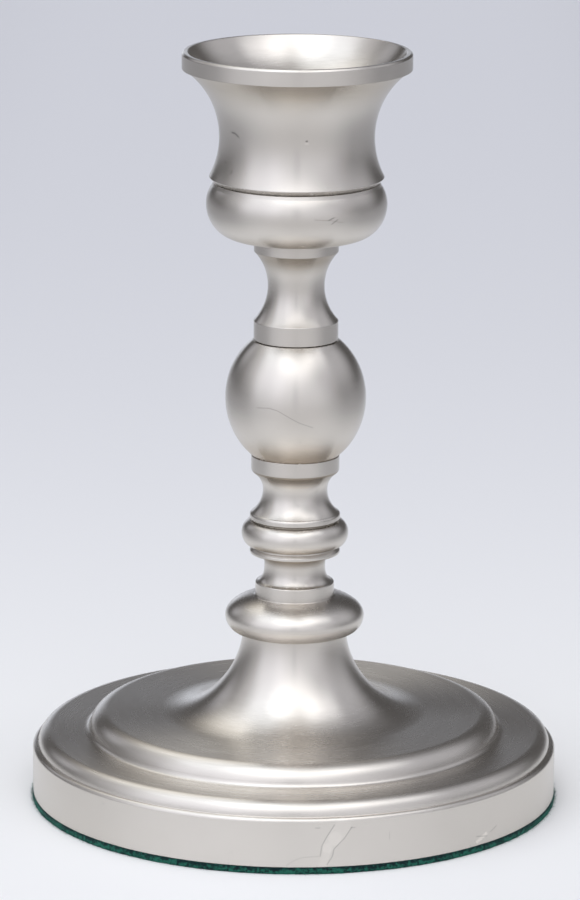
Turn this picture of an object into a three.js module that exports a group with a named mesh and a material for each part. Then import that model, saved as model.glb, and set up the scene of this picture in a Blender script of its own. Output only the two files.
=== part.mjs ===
// Turned candlestick in satin nickel: a column of separate turned pieces, drawn together
// by one tie rod between the candle cup and a nut in the hollow of a felted foot.
// Millimetres, +Z up along the axis, origin under the felt at the middle of the foot.

import * as THREE from 'three';

// Tie rod and its fasteners: a quarter-inch rod, nut and washers
const ROD_DIAMETER = 6.35;
const ROD_CLEARANCE = 0.3; // radial gap from the rod to everything that it passes through
const ROD_END_GAP = 0.5; // gap from the rod's upper end to the end of the cup's blind hole
const ROD_TAIL = 0.8; // how far the rod stands out below its nut
const NUT_ACROSS_FLATS = 11.1;
const NUT_HEIGHT = 5.6;
const WASHER_DIAMETER = 15.9;
const WASHER_THICKNESS = 1.6;
const LOCK_WASHER_DIAMETER = 12.4;
const LOCK_WASHER_THICKNESS = 1.6;
const LOCK_WASHER_GAP = 1.5; // width of the split in the spring washer

// Spigots that centre each piece on the one below it
const SPIGOT_WALL = 1.3; // wall of a spigot round the rod's hole
const SPIGOT_HEIGHT = 1.2;
const SPIGOT_CLEARANCE = 0.3; // gap round and above a spigot in its recess

// Felt pad
const FELT_OVERHANG = 0.2; // how far the felt's cut edge stands out past the foot
const FELT_THICKNESS = 1.3;

// Foot: upright band, shoulder, flat ring, inner step, second flat ring and trumpet
const FOOT_RADIUS = 50.8;
const BAND_HEIGHT = 8.65;
const BAND_EDGE = 0.8; // rounded upper edge of the band
const QUIRK_DEPTH = 0.25; // small step from the band's edge to the shoulder
const SHOULDER_DEPTH = 2.65;
const SHOULDER_RISE = 2.6;
const RING_WIDTH = 7.3;
const STEP_DEPTH = 3.7;
const STEP_RISE = 3.75;
const INNER_RING_WIDTH = 10.1; // flat between the inner step and the trumpet
const TRUMPET_RISE = 15.9;
const TRUMPET_TOP_RADIUS = 10.03;
const TRUMPET_PULL_OUT = 11.1; // how far the curve runs level from the flat
const TRUMPET_PULL_DOWN = 5.3; // how far the curve runs upright below the seat
const FOOT_WALL = 3.0;
const NUT_BOSS_RADIUS = 9.0;
const NUT_BOSS_DROP = 2.6; // how far the nut's boss stands below the hollow's ceiling

// Cushion knop on the foot
const CUSHION_RADIUS = 13.42;
const CUSHION_LOWER_RISE = 3.2;
const CUSHION_LOWER_DEPTH = 3.1;
const CUSHION_UPPER_RISE = 4.1;
const CUSHION_UPPER_DEPTH = 5.8;

// Small cove spool
const COVE_COLLAR_RADIUS = 7.6;
const COVE_COLLAR_HEIGHT = 2.5;
const COVE_COLLAR_EDGE = 0.15;
const COVE_WAIST_RADIUS = 5.86;
const COVE_LOWER_RISE = 2.85;
const COVE_UPPER_RISE = 2.8;
const COVE_TOP_FLARE = 0.74; // how far the upper end stands out from the waist

// Bead with the ring under it
const BEAD_RING_RADIUS = 8.7;
const BEAD_RING_HEIGHT = 0.65; // height of the ring's upright edge
const BEAD_RING_BEVEL = 0.65; // height of the bevel on top of the ring
const BEAD_NECK_RADIUS = 8.25;
const BEAD_RADIUS = 10.3;
const BEAD_HALF_HEIGHT = 2.5;
const BEAD_QUIRK = 0.25; // upright quirk below and above the bead

// Vase spool
const VASE_FOOT_RADIUS = 8.72;
const VASE_FOOT_HEIGHT = 0.8;
const VASE_EDGE_DEPTH = 0.44; // rounded edges above the foot and below the collar
const VASE_LOWER_EDGE_RISE = 0.6;
const VASE_WAIST_RADIUS = 6.2;
const VASE_LOWER_RISE = 4.35;
const VASE_UPPER_RISE = 3.5;
const VASE_UPPER_EDGE_RISE = 0.85;
const VASE_COLLAR_RADIUS = 8.49;
const VASE_COLLAR_HEIGHT = 2.6;

// Ball, a little taller than it is wide, faced off at both ends
const BALL_RADIUS = 13.5;
const BALL_HALF_HEIGHT = 14.3;
const BALL_FACED_HEIGHT = 22.55;

// Neck spool
const NECK_LOWER_RADIUS = 8.1;
const NECK_LOWER_HEIGHT = 3.8;
const NECK_LOWER_RISE = 6.75;
const NECK_WAIST_RADIUS = 5.42;
const NECK_UPPER_RISE = 6.75;
const NECK_UPPER_RADIUS = 8.1;
const NECK_UPPER_HEIGHT = 2.5; // upright collar under the bowl

// Bowl under the cup
const BOWL_RADIUS = 17.25;
const BOWL_LOWER_RISE = 6.7;
const BOWL_LOWER_DEPTH = 6.0;
const BOWL_UPPER_RISE = 3.5;
const BOWL_UPPER_DEPTH = 1.1;
const BOWL_BEVEL_RISE = 0.7; // lower side of the groove between bowl and cup
const GROOVE_DEPTH = 0.3; // from the bowl's upper edge in to the seam with the cup

// Candle cup
const CUP_EDGE_RISE = 1.0; // upper side of the groove
const CUP_WAIST_RADIUS = 14.78;
const CUP_EDGE_FLARE = 1.9; // how far the lower edge stands out from the waist
const CUP_LOWER_RISE = 7.6;
const CUP_FLARE_RISE = 13.1;
const LIP_RADIUS = 21.87;
const LIP_STEP = 0.45; // how far the lip stands out from the flare
const LIP_HEIGHT = 2.85;
const LIP_CHAMFER = 0.35;
const LIP_TOP_WIDTH = 0.75;
const CANDLE_BORE_RADIUS = 11.25; // takes a standard 22 mm taper candle
const CANDLE_BORE_HEIGHT = 14.5;
const MOUTH_HOLLOW = 1.06; // how far the mouth is dished below a straight cone
const CUP_FLOOR = 3.1;
const CUP_BOSS_RADIUS = 6.0;
const CUP_BOSS_DROP = 6.2; // threaded boss that reaches down into the bowl
const CUP_HOLE_REACH = 1.3; // how far the blind hole runs up into the floor

// Facets
const FOOT_SEGMENTS = 44;
const COLUMN_SEGMENTS = 32;
const ROD_SEGMENTS = 20;
const ARC_STEP = THREE.MathUtils.degToRad(16); // turn of the outline along one facet

// Radii that follow from the rod
const rodRadius = ROD_DIAMETER / 2;
const holeRadius = rodRadius + ROD_CLEARANCE;
const spigotRadius = holeRadius + SPIGOT_WALL;
const recessRadius = spigotRadius + SPIGOT_CLEARANCE;
const recessDepth = SPIGOT_HEIGHT + SPIGOT_CLEARANCE;

// Heights that follow from the pieces' own rises
const shoulderRadius = FOOT_RADIUS - BAND_EDGE - QUIRK_DEPTH;
const ringOuterRadius = shoulderRadius - SHOULDER_DEPTH;
const stepRadius = ringOuterRadius - RING_WIDTH;
const bandTop = BAND_HEIGHT + BAND_EDGE;
const ringHeight = bandTop + SHOULDER_RISE;
const stepTop = ringHeight + STEP_RISE;
const footHeight = stepTop + TRUMPET_RISE;
const hollowCeiling = stepTop - FOOT_WALL;
const nutSeat = hollowCeiling - NUT_BOSS_DROP;
const feltRadius = FOOT_RADIUS + FELT_OVERHANG;
const bowlTopRadius = BOWL_RADIUS - BOWL_UPPER_DEPTH;
const seamRadius = bowlTopRadius - GROOVE_DEPTH;

const cushionHeight = CUSHION_LOWER_RISE + CUSHION_UPPER_RISE;
const coveHeight = COVE_COLLAR_HEIGHT + COVE_COLLAR_EDGE + COVE_LOWER_RISE + COVE_UPPER_RISE;
const beadRingTop = BEAD_RING_HEIGHT + BEAD_RING_BEVEL;
const beadMiddle = beadRingTop + BEAD_QUIRK + BEAD_HALF_HEIGHT;
const beadHeight = beadMiddle + BEAD_HALF_HEIGHT + BEAD_QUIRK;
const vaseWaist = VASE_FOOT_HEIGHT + VASE_LOWER_EDGE_RISE + VASE_LOWER_RISE;
const vaseCollar = vaseWaist + VASE_UPPER_RISE + VASE_UPPER_EDGE_RISE;
const vaseHeight = vaseCollar + VASE_COLLAR_HEIGHT;
const neckWaist = NECK_LOWER_HEIGHT + NECK_LOWER_RISE;
const neckCollar = neckWaist + NECK_UPPER_RISE;
const neckHeight = neckCollar + NECK_UPPER_HEIGHT;
const bowlHeight = BOWL_LOWER_RISE + BOWL_UPPER_RISE + BOWL_BEVEL_RISE;

// Materials: the turned metal, the plain steel of the hidden fasteners and the felt
const satinNickel = { color: 0xb9b3ab, roughness: 0.34, metalness: 1.0 };
const zincSteel = { color: 0xa4a6a8, roughness: 0.45, metalness: 1.0 };
const greenFelt = { color: 0x1f4a43, roughness: 1.0, metalness: 0.0 };

// Round stretch from the pen's place to (r, z) with the given rise of the arc over its chord:
// positive swells away from the axis on an outline that runs up, negative hollows it.
function bulgeTo(path, r, z, bulge) {
  const from = path.currentPoint;
  const chord = new THREE.Vector2(r - from.x, z - from.y);
  const half = chord.length() / 2;
  const radius = (half * half + bulge * bulge) / (2 * Math.abs(bulge));
  const outward = new THREE.Vector2(chord.y, -chord.x).normalize();
  const toCentre = (bulge > 0 ? -1 : 1) * (radius - Math.abs(bulge));
  const centreR = (from.x + r) / 2 + outward.x * toCentre;
  const centreZ = (from.y + z) / 2 + outward.y * toCentre;
  const start = Math.atan2(from.y - centreZ, from.x - centreR);
  const end = Math.atan2(z - centreZ, r - centreR);
  path.absarc(centreR, centreZ, radius, start, end, bulge < 0);
}

// Quarter of an ellipse from the pen's place to (r, z), level at one end and upright at the other.
// With uprightFirst the outline leaves the pen's place upright, otherwise it leaves it level.
function quarterTo(path, r, z, uprightFirst) {
  const from = path.currentPoint;
  const centreR = uprightFirst ? r : from.x;
  const centreZ = uprightFirst ? from.y : z;
  const start = Math.atan2(from.y - centreZ, from.x - centreR);
  const end = Math.atan2(z - centreZ, r - centreR);
  const turn = (from.x - centreR) * (z - centreZ) - (from.y - centreZ) * (r - centreR);
  path.absellipse(centreR, centreZ, Math.abs(r - from.x), Math.abs(z - from.y), start, end, turn < 0);
}

// Arc that meets the upright at the waist, written by where it ends and how far the waist lies
function waistBulge(depth, rise) {
  const radius = (depth * depth + rise * rise) / (2 * depth);
  const halfChord = Math.hypot(depth, rise) / 2;
  return radius - Math.sqrt(radius * radius - halfChord * halfChord);
}

// Points of an outline, closer together where it turns
function outlinePoints(path) {
  const points = [path.curves[0].getPoint(0)];
  for (const curve of path.curves) {
    const turn = curve.getTangent(0).angleTo(curve.getTangent(1));
    const steps = curve.isLineCurve ? 1 : Math.max(2, Math.ceil(turn / ARC_STEP));
    for (let i = 1; i <= steps; i += 1) points.push(curve.getPoint(i / steps));
  }
  return points;
}

function mesh(name, geometry, look, height) {
  const piece = new THREE.Mesh(geometry, new THREE.MeshStandardMaterial(look));
  piece.name = name;
  piece.position.z = height;
  return piece;
}

// Revolve an outline, drawn as radius and height, about the upright axis
function turned(name, path, segments, look, height) {
  const geometry = new THREE.LatheGeometry(outlinePoints(path), segments);
  geometry.rotateX(Math.PI / 2);
  return mesh(name, geometry, look, height);
}

// Lower end of a column piece: from the hole's edge, through the recess, out to the seat's edge
function startAtRecess(seatRadius) {
  const path = new THREE.Path();
  path.moveTo(holeRadius, recessDepth);
  path.lineTo(recessRadius, recessDepth);
  path.lineTo(recessRadius, 0);
  path.lineTo(seatRadius, 0);
  return path;
}

// Upper end of a column piece: in to the spigot, up over it and down the rod's hole
function closeWithSpigot(path, top) {
  const first = path.curves[0].getPoint(0);
  path.lineTo(spigotRadius, top);
  path.lineTo(spigotRadius, top + SPIGOT_HEIGHT);
  path.lineTo(holeRadius, top + SPIGOT_HEIGHT);
  path.lineTo(first.x, first.y);
}

function feltPad() {
  const path = new THREE.Path();
  path.moveTo(0, 0);
  path.lineTo(feltRadius, 0);
  path.lineTo(feltRadius, FELT_THICKNESS);
  path.lineTo(0, FELT_THICKNESS);
  return turned('felt_pad', path, FOOT_SEGMENTS, greenFelt, 0);
}

// Foot: turned outside, with a faced hollow underneath and a boss in it for the nut
function foot(height) {
  const rimInside = FOOT_RADIUS - FOOT_WALL;
  const ringCeiling = ringHeight - FOOT_WALL;
  const innerHollowRadius = stepRadius - FOOT_WALL;
  const innerRingRadius = stepRadius - STEP_DEPTH;
  const trumpetFoot = innerRingRadius - INNER_RING_WIDTH;
  const path = new THREE.Path();
  path.moveTo(holeRadius, nutSeat);
  path.lineTo(NUT_BOSS_RADIUS, nutSeat);
  path.lineTo(NUT_BOSS_RADIUS, hollowCeiling);
  path.lineTo(innerHollowRadius, hollowCeiling);
  path.lineTo(innerHollowRadius, ringCeiling);
  path.lineTo(rimInside, ringCeiling);
  path.lineTo(rimInside, 0);
  path.lineTo(FOOT_RADIUS, 0);
  path.lineTo(FOOT_RADIUS, BAND_HEIGHT);
  quarterTo(path, FOOT_RADIUS - BAND_EDGE, bandTop, true);
  path.lineTo(shoulderRadius, bandTop);
  quarterTo(path, ringOuterRadius, ringHeight, true);
  path.lineTo(stepRadius, ringHeight);
  quarterTo(path, innerRingRadius, stepTop, true);
  path.lineTo(trumpetFoot, stepTop);
  path.bezierCurveTo(
    trumpetFoot - TRUMPET_PULL_OUT, stepTop,
    TRUMPET_TOP_RADIUS, footHeight - TRUMPET_PULL_DOWN,
    TRUMPET_TOP_RADIUS, footHeight,
  );
  closeWithSpigot(path, footHeight);
  return turned('foot', path, FOOT_SEGMENTS, satinNickel, height);
}

function cushionKnop(height) {
  const path = startAtRecess(CUSHION_RADIUS - CUSHION_LOWER_DEPTH);
  quarterTo(path, CUSHION_RADIUS, CUSHION_LOWER_RISE, false);
  quarterTo(path, CUSHION_RADIUS - CUSHION_UPPER_DEPTH, cushionHeight, true);
  closeWithSpigot(path, cushionHeight);
  return turned('cushion_knop', path, COLUMN_SEGMENTS, satinNickel, height);
}

function coveSpool(height) {
  const edgeHeight = COVE_COLLAR_HEIGHT + COVE_COLLAR_EDGE;
  const path = startAtRecess(COVE_COLLAR_RADIUS);
  path.lineTo(COVE_COLLAR_RADIUS, COVE_COLLAR_HEIGHT);
  path.lineTo(COVE_COLLAR_RADIUS - COVE_COLLAR_EDGE, edgeHeight);
  quarterTo(path, COVE_WAIST_RADIUS, edgeHeight + COVE_LOWER_RISE, false);
  quarterTo(path, COVE_WAIST_RADIUS + COVE_TOP_FLARE, coveHeight, true);
  closeWithSpigot(path, coveHeight);
  return turned('cove_spool', path, COLUMN_SEGMENTS, satinNickel, height);
}

function beadRing(height) {
  const path = startAtRecess(BEAD_RING_RADIUS);
  path.lineTo(BEAD_RING_RADIUS, BEAD_RING_HEIGHT);
  path.lineTo(BEAD_NECK_RADIUS, beadRingTop);
  path.lineTo(BEAD_NECK_RADIUS, beadMiddle - BEAD_HALF_HEIGHT);
  quarterTo(path, BEAD_RADIUS, beadMiddle, false);
  quarterTo(path, BEAD_NECK_RADIUS, beadMiddle + BEAD_HALF_HEIGHT, true);
  path.lineTo(BEAD_NECK_RADIUS, beadHeight);
  closeWithSpigot(path, beadHeight);
  return turned('bead_ring', path, COLUMN_SEGMENTS, satinNickel, height);
}

// Vase spool: a hollow waist between two rounded edges
function vaseSpool(height) {
  const lowerDepth = VASE_FOOT_RADIUS - VASE_EDGE_DEPTH - VASE_WAIST_RADIUS;
  const upperDepth = VASE_COLLAR_RADIUS - VASE_EDGE_DEPTH - VASE_WAIST_RADIUS;
  const lowerEdgeBulge = waistBulge(VASE_EDGE_DEPTH, VASE_LOWER_EDGE_RISE);
  const upperEdgeBulge = waistBulge(VASE_EDGE_DEPTH, VASE_UPPER_EDGE_RISE);
  const path = startAtRecess(VASE_FOOT_RADIUS);
  path.lineTo(VASE_FOOT_RADIUS, VASE_FOOT_HEIGHT);
  bulgeTo(path, VASE_WAIST_RADIUS + lowerDepth, VASE_FOOT_HEIGHT + VASE_LOWER_EDGE_RISE, lowerEdgeBulge);
  bulgeTo(path, VASE_WAIST_RADIUS, vaseWaist, -waistBulge(lowerDepth, VASE_LOWER_RISE));
  bulgeTo(
    path, VASE_WAIST_RADIUS + upperDepth, vaseWaist + VASE_UPPER_RISE,
    -waistBulge(upperDepth, VASE_UPPER_RISE),
  );
  bulgeTo(path, VASE_COLLAR_RADIUS, vaseCollar, upperEdgeBulge);
  path.lineTo(VASE_COLLAR_RADIUS, vaseHeight);
  closeWithSpigot(path, vaseHeight);
  return turned('vase_spool', path, COLUMN_SEGMENTS, satinNickel, height);
}

function ballKnop(height) {
  const middle = BALL_FACED_HEIGHT / 2;
  const facedAngle = Math.asin(middle / BALL_HALF_HEIGHT);
  const path = startAtRecess(BALL_RADIUS * Math.cos(facedAngle));
  path.absellipse(0, middle, BALL_RADIUS, BALL_HALF_HEIGHT, -facedAngle, 0, false);
  path.absellipse(0, middle, BALL_RADIUS, BALL_HALF_HEIGHT, 0, facedAngle, false);
  closeWithSpigot(path, BALL_FACED_HEIGHT);
  return turned('ball_knop', path, COLUMN_SEGMENTS, satinNickel, height);
}

function neckSpool(height) {
  const lowerBulge = waistBulge(NECK_LOWER_RADIUS - NECK_WAIST_RADIUS, NECK_LOWER_RISE);
  const upperBulge = waistBulge(NECK_UPPER_RADIUS - NECK_WAIST_RADIUS, NECK_UPPER_RISE);
  const path = startAtRecess(NECK_LOWER_RADIUS);
  path.lineTo(NECK_LOWER_RADIUS, NECK_LOWER_HEIGHT);
  bulgeTo(path, NECK_WAIST_RADIUS, neckWaist, -lowerBulge);
  bulgeTo(path, NECK_UPPER_RADIUS, neckCollar, -upperBulge);
  path.lineTo(NECK_UPPER_RADIUS, neckHeight);
  closeWithSpigot(path, neckHeight);
  return turned('neck_spool', path, COLUMN_SEGMENTS, satinNickel, height);
}

// Bowl: its wide upper recess takes the cup's threaded boss
function bowl(height) {
  const bossRecess = bowlHeight - CUP_BOSS_DROP - SPIGOT_CLEARANCE;
  const bossRecessRadius = CUP_BOSS_RADIUS + SPIGOT_CLEARANCE;
  const path = startAtRecess(BOWL_RADIUS - BOWL_LOWER_DEPTH);
  quarterTo(path, BOWL_RADIUS, BOWL_LOWER_RISE, false);
  bulgeTo(
    path, bowlTopRadius, BOWL_LOWER_RISE + BOWL_UPPER_RISE,
    waistBulge(BOWL_UPPER_DEPTH, BOWL_UPPER_RISE),
  );
  path.lineTo(seamRadius, bowlHeight);
  path.lineTo(bossRecessRadius, bowlHeight);
  path.lineTo(bossRecessRadius, bossRecess);
  path.lineTo(holeRadius, bossRecess);
  path.lineTo(holeRadius, recessDepth);
  return turned('cup_bowl', path, COLUMN_SEGMENTS, satinNickel, height);
}

// Candle cup: flared wall and lip outside, a straight bore under a dished mouth inside
function candleCup(height) {
  const waistHeight = CUP_EDGE_RISE + CUP_LOWER_RISE;
  const lipFoot = waistHeight + CUP_FLARE_RISE;
  const lipTop = lipFoot + LIP_HEIGHT + LIP_CHAMFER;
  const flareRadius = LIP_RADIUS - LIP_STEP;
  const mouthRadius = LIP_RADIUS - LIP_CHAMFER - LIP_TOP_WIDTH;
  const boreTop = CUP_FLOOR + CANDLE_BORE_HEIGHT;
  const path = new THREE.Path();
  path.moveTo(0, CUP_HOLE_REACH);
  path.lineTo(holeRadius, CUP_HOLE_REACH);
  path.lineTo(holeRadius, -CUP_BOSS_DROP);
  path.lineTo(CUP_BOSS_RADIUS, -CUP_BOSS_DROP);
  path.lineTo(CUP_BOSS_RADIUS, 0);
  path.lineTo(seamRadius, 0);
  path.lineTo(CUP_WAIST_RADIUS + CUP_EDGE_FLARE, CUP_EDGE_RISE);
  bulgeTo(
    path, CUP_WAIST_RADIUS, waistHeight,
    -waistBulge(CUP_EDGE_FLARE, CUP_LOWER_RISE),
  );
  bulgeTo(
    path, flareRadius, lipFoot,
    -waistBulge(flareRadius - CUP_WAIST_RADIUS, CUP_FLARE_RISE),
  );
  path.lineTo(LIP_RADIUS, lipFoot);
  path.lineTo(LIP_RADIUS, lipFoot + LIP_HEIGHT);
  path.lineTo(LIP_RADIUS - LIP_CHAMFER, lipTop);
  path.lineTo(mouthRadius, lipTop);
  bulgeTo(path, CANDLE_BORE_RADIUS, boreTop, -MOUTH_HOLLOW);
  path.lineTo(CANDLE_BORE_RADIUS, CUP_FLOOR);
  path.lineTo(0, CUP_FLOOR);
  return turned('candle_cup', path, COLUMN_SEGMENTS, satinNickel, height);
}

function tieRod(bottom, top) {
  const geometry = new THREE.CylinderGeometry(rodRadius, rodRadius, top - bottom, ROD_SEGMENTS);
  geometry.rotateX(Math.PI / 2);
  return mesh('tie_rod', geometry, zincSteel, (bottom + top) / 2);
}

// Flat piece with a round hole for the rod, extruded upward
function pressed(name, shape, thickness, height) {
  const hole = new THREE.Path();
  hole.absarc(0, 0, holeRadius, 0, 2 * Math.PI, true);
  shape.holes.push(hole);
  const geometry = new THREE.ExtrudeGeometry(shape, {
    depth: thickness, bevelEnabled: false, curveSegments: ROD_SEGMENTS / 2,
  });
  return mesh(name, geometry, zincSteel, height);
}

function flatWasher(height) {
  const shape = new THREE.Shape();
  shape.absarc(0, 0, WASHER_DIAMETER / 2, 0, 2 * Math.PI, false);
  return pressed('flat_washer', shape, WASHER_THICKNESS, height);
}

// Spring washer: a ring with a split, pressed flat by the nut
function lockWasher(height) {
  const outer = LOCK_WASHER_DIAMETER / 2;
  const outerGap = Math.asin(LOCK_WASHER_GAP / 2 / outer);
  const innerGap = Math.asin(LOCK_WASHER_GAP / 2 / holeRadius);
  const shape = new THREE.Shape();
  shape.absarc(0, 0, outer, outerGap, 2 * Math.PI - outerGap, false);
  shape.absarc(0, 0, holeRadius, 2 * Math.PI - innerGap, innerGap, true);
  shape.closePath();
  const geometry = new THREE.ExtrudeGeometry(shape, {
    depth: LOCK_WASHER_THICKNESS, bevelEnabled: false, curveSegments: ROD_SEGMENTS / 2,
  });
  return mesh('lock_washer', geometry, zincSteel, height);
}

function hexNut(height) {
  const corner = NUT_ACROSS_FLATS / Math.sqrt(3);
  const shape = new THREE.Shape();
  for (let i = 0; i < 6; i += 1) {
    const angle = (i * Math.PI) / 3;
    if (i === 0) shape.moveTo(corner, 0);
    else shape.lineTo(corner * Math.cos(angle), corner * Math.sin(angle));
  }
  shape.closePath();
  return pressed('hex_nut', shape, NUT_HEIGHT, height);
}

const candlestick = new THREE.Group();
candlestick.name = 'candlestick';
candlestick.add(feltPad());

// The column is stacked from the felt up, each piece on the seat of the one below it
const column = [
  { make: foot, height: footHeight },
  { make: cushionKnop, height: cushionHeight },
  { make: coveSpool, height: coveHeight },
  { make: beadRing, height: beadHeight },
  { make: vaseSpool, height: vaseHeight },
  { make: ballKnop, height: BALL_FACED_HEIGHT },
  { make: neckSpool, height: neckHeight },
  { make: bowl, height: bowlHeight },
];
let seat = FELT_THICKNESS;
for (const piece of column) {
  candlestick.add(piece.make(seat));
  seat += piece.height;
}
candlestick.add(candleCup(seat));

// The nut pulls the rod down against the boss inside the foot
const washerBottom = FELT_THICKNESS + nutSeat - WASHER_THICKNESS;
const lockBottom = washerBottom - LOCK_WASHER_THICKNESS;
const nutBottom = lockBottom - NUT_HEIGHT;
candlestick.add(flatWasher(washerBottom));
candlestick.add(lockWasher(lockBottom));
candlestick.add(hexNut(nutBottom));
candlestick.add(tieRod(nutBottom - ROD_TAIL, seat + CUP_HOLE_REACH - ROD_END_GAP));

export default candlestick;
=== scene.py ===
# Turned candlestick in satin nickel, dressed piece by piece over its solids.
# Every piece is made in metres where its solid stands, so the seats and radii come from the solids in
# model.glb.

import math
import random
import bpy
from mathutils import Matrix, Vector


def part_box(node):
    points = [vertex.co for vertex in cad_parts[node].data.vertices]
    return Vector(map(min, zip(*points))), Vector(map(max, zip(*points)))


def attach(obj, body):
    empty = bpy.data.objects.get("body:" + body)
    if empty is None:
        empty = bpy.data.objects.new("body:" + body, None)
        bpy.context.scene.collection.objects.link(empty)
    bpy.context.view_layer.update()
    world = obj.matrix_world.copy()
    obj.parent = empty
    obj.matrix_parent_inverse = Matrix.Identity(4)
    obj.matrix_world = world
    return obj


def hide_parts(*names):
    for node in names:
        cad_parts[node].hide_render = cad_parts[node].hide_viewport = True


bl_info = {
    "name": "Turned Candlestick",
    "version": (1, 0, 0),
    "blender": (4, 5, 0),
    "location": "View3D > Sidebar > Candlestick",
    "description": "Dresses a satin nickel candlestick with a felted foot and sets it on a pale table",
    "category": "Add Mesh",
}

import bpy
import numpy as np
from bpy.props import FloatProperty, FloatVectorProperty, IntProperty, PointerProperty
from bpy.types import Operator, Panel, PropertyGroup
from mathutils import Matrix, Vector, noise

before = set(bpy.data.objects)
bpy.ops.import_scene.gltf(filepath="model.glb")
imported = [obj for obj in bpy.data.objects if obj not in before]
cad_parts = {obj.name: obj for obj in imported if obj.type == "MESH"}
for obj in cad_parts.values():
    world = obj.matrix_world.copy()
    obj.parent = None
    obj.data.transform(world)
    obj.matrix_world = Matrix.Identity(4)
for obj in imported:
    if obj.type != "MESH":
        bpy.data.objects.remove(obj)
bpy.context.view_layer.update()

MM = 0.001
BODY = "root"

# Fineness of the meshes. The felt's rings, and the rim from which on it wanders, are parts of its radius.
OUTLINE_STEP = 0.4 * MM
CURVE_STEPS = 10
CURVE_EXCESS = 1.2
ROUND_STEPS = 5
SHARED_REACH = 0.45
ON_AXIS = 1e-9
COLUMN_SIDES = 144
FOOT_SIDES = 240
FELT_SIDES = 720
FELT_RINGS = (0.35, 0.7, 0.9, 0.97)
FELT_RIM = 0.96
ROD_SIDES, THREAD_STEPS = 40, 8
NUT_SIDES = 96
SPLIT_STEPS = 120
TABLE_SIDES, TABLE_RINGS = 96, 12

# How much the slow and the quick wandering of the felt's edge count, and how far it lies in on average
WANDER_SHARE, WANDER_INWARD = 0.6, 0.3

# Loose fibres: their heights as parts of the felt's thickness, the shortest as a part of the longest, the
# mean and spread of each way that they lie, their widths, and how they thin from root to tip
FIBRE_SEED = 7
FIBRE_HEIGHTS = (0.12, 0.92)
SHORT_FIBRE = 0.35
FIBRE_LEAN, FIBRE_LIFT = (0.0, 0.9), (-0.1, 0.5)
FIBRE_BEND, FIBRE_DROOP = (0.0, 0.5), (-0.15, 0.35)
FIBRE_WIDTHS = (0.6, 1.2)
FIBRE_TAPER = ((0.0, 1.0), (0.5, 0.85), (1.0, 0.5))

# Noise in the finishes: features along a metre
CLOUD_SCALE = 90.0
RAGGED_SCALE = 1500.0
BLOTCH_SCALE = 700.0
WOOL_SCALE, WOOL_CLOUD_SCALE = 1700.0, 320.0
SLOW_WANDER_SCALE, QUICK_WANDER_SCALE = 260.0, 2100.0

# Lathe lines: pitch as a multiple of the fine pitch, and how often a line changes on its way round.
# They show on faces that are more level than the first of two slopes, and fully from the second on.
FINE_LINES = (1.0, 9.0)
BROAD_LINES = (4.0, 3.0)
LINED_SLOPES = (0.5, 0.95)
LINES_ELSEWHERE = 0.05
LINE_STRENGTH, CLOUD_STRENGTH = 0.6, 0.25
LINE_ROUGHNESS = 0.03
NICKEL_RANGE = (-0.3, 0.3)

# Zinc plate and felt: the stretch of their noise that takes the tones from dull to bright
ZINC_RANGE, ZINC_ROUGH_RANGE = (0.35, 0.65), (0.3, 0.7)
ZINC_BUMP, WOOL_BUMP = 0.6, 0.8
WOOL_SHARE = 0.75
WOOL_RANGE = (0.40, 0.57)
# Painted shade on the felt's top under the foot: the height where it starts, as a part of the thickness,
# and how much it darkens
FOOT_SHADE_FROM, FOOT_SHADE_DEPTH = 0.45, 0.1

# Edges of the marks of wear in mm: how soft they are, and how ragged from a given half width on
MARK_SOFTNESS = 0.12
RAGGED_WIDTH, RAGGED_REACH = 0.3, 0.35

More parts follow.
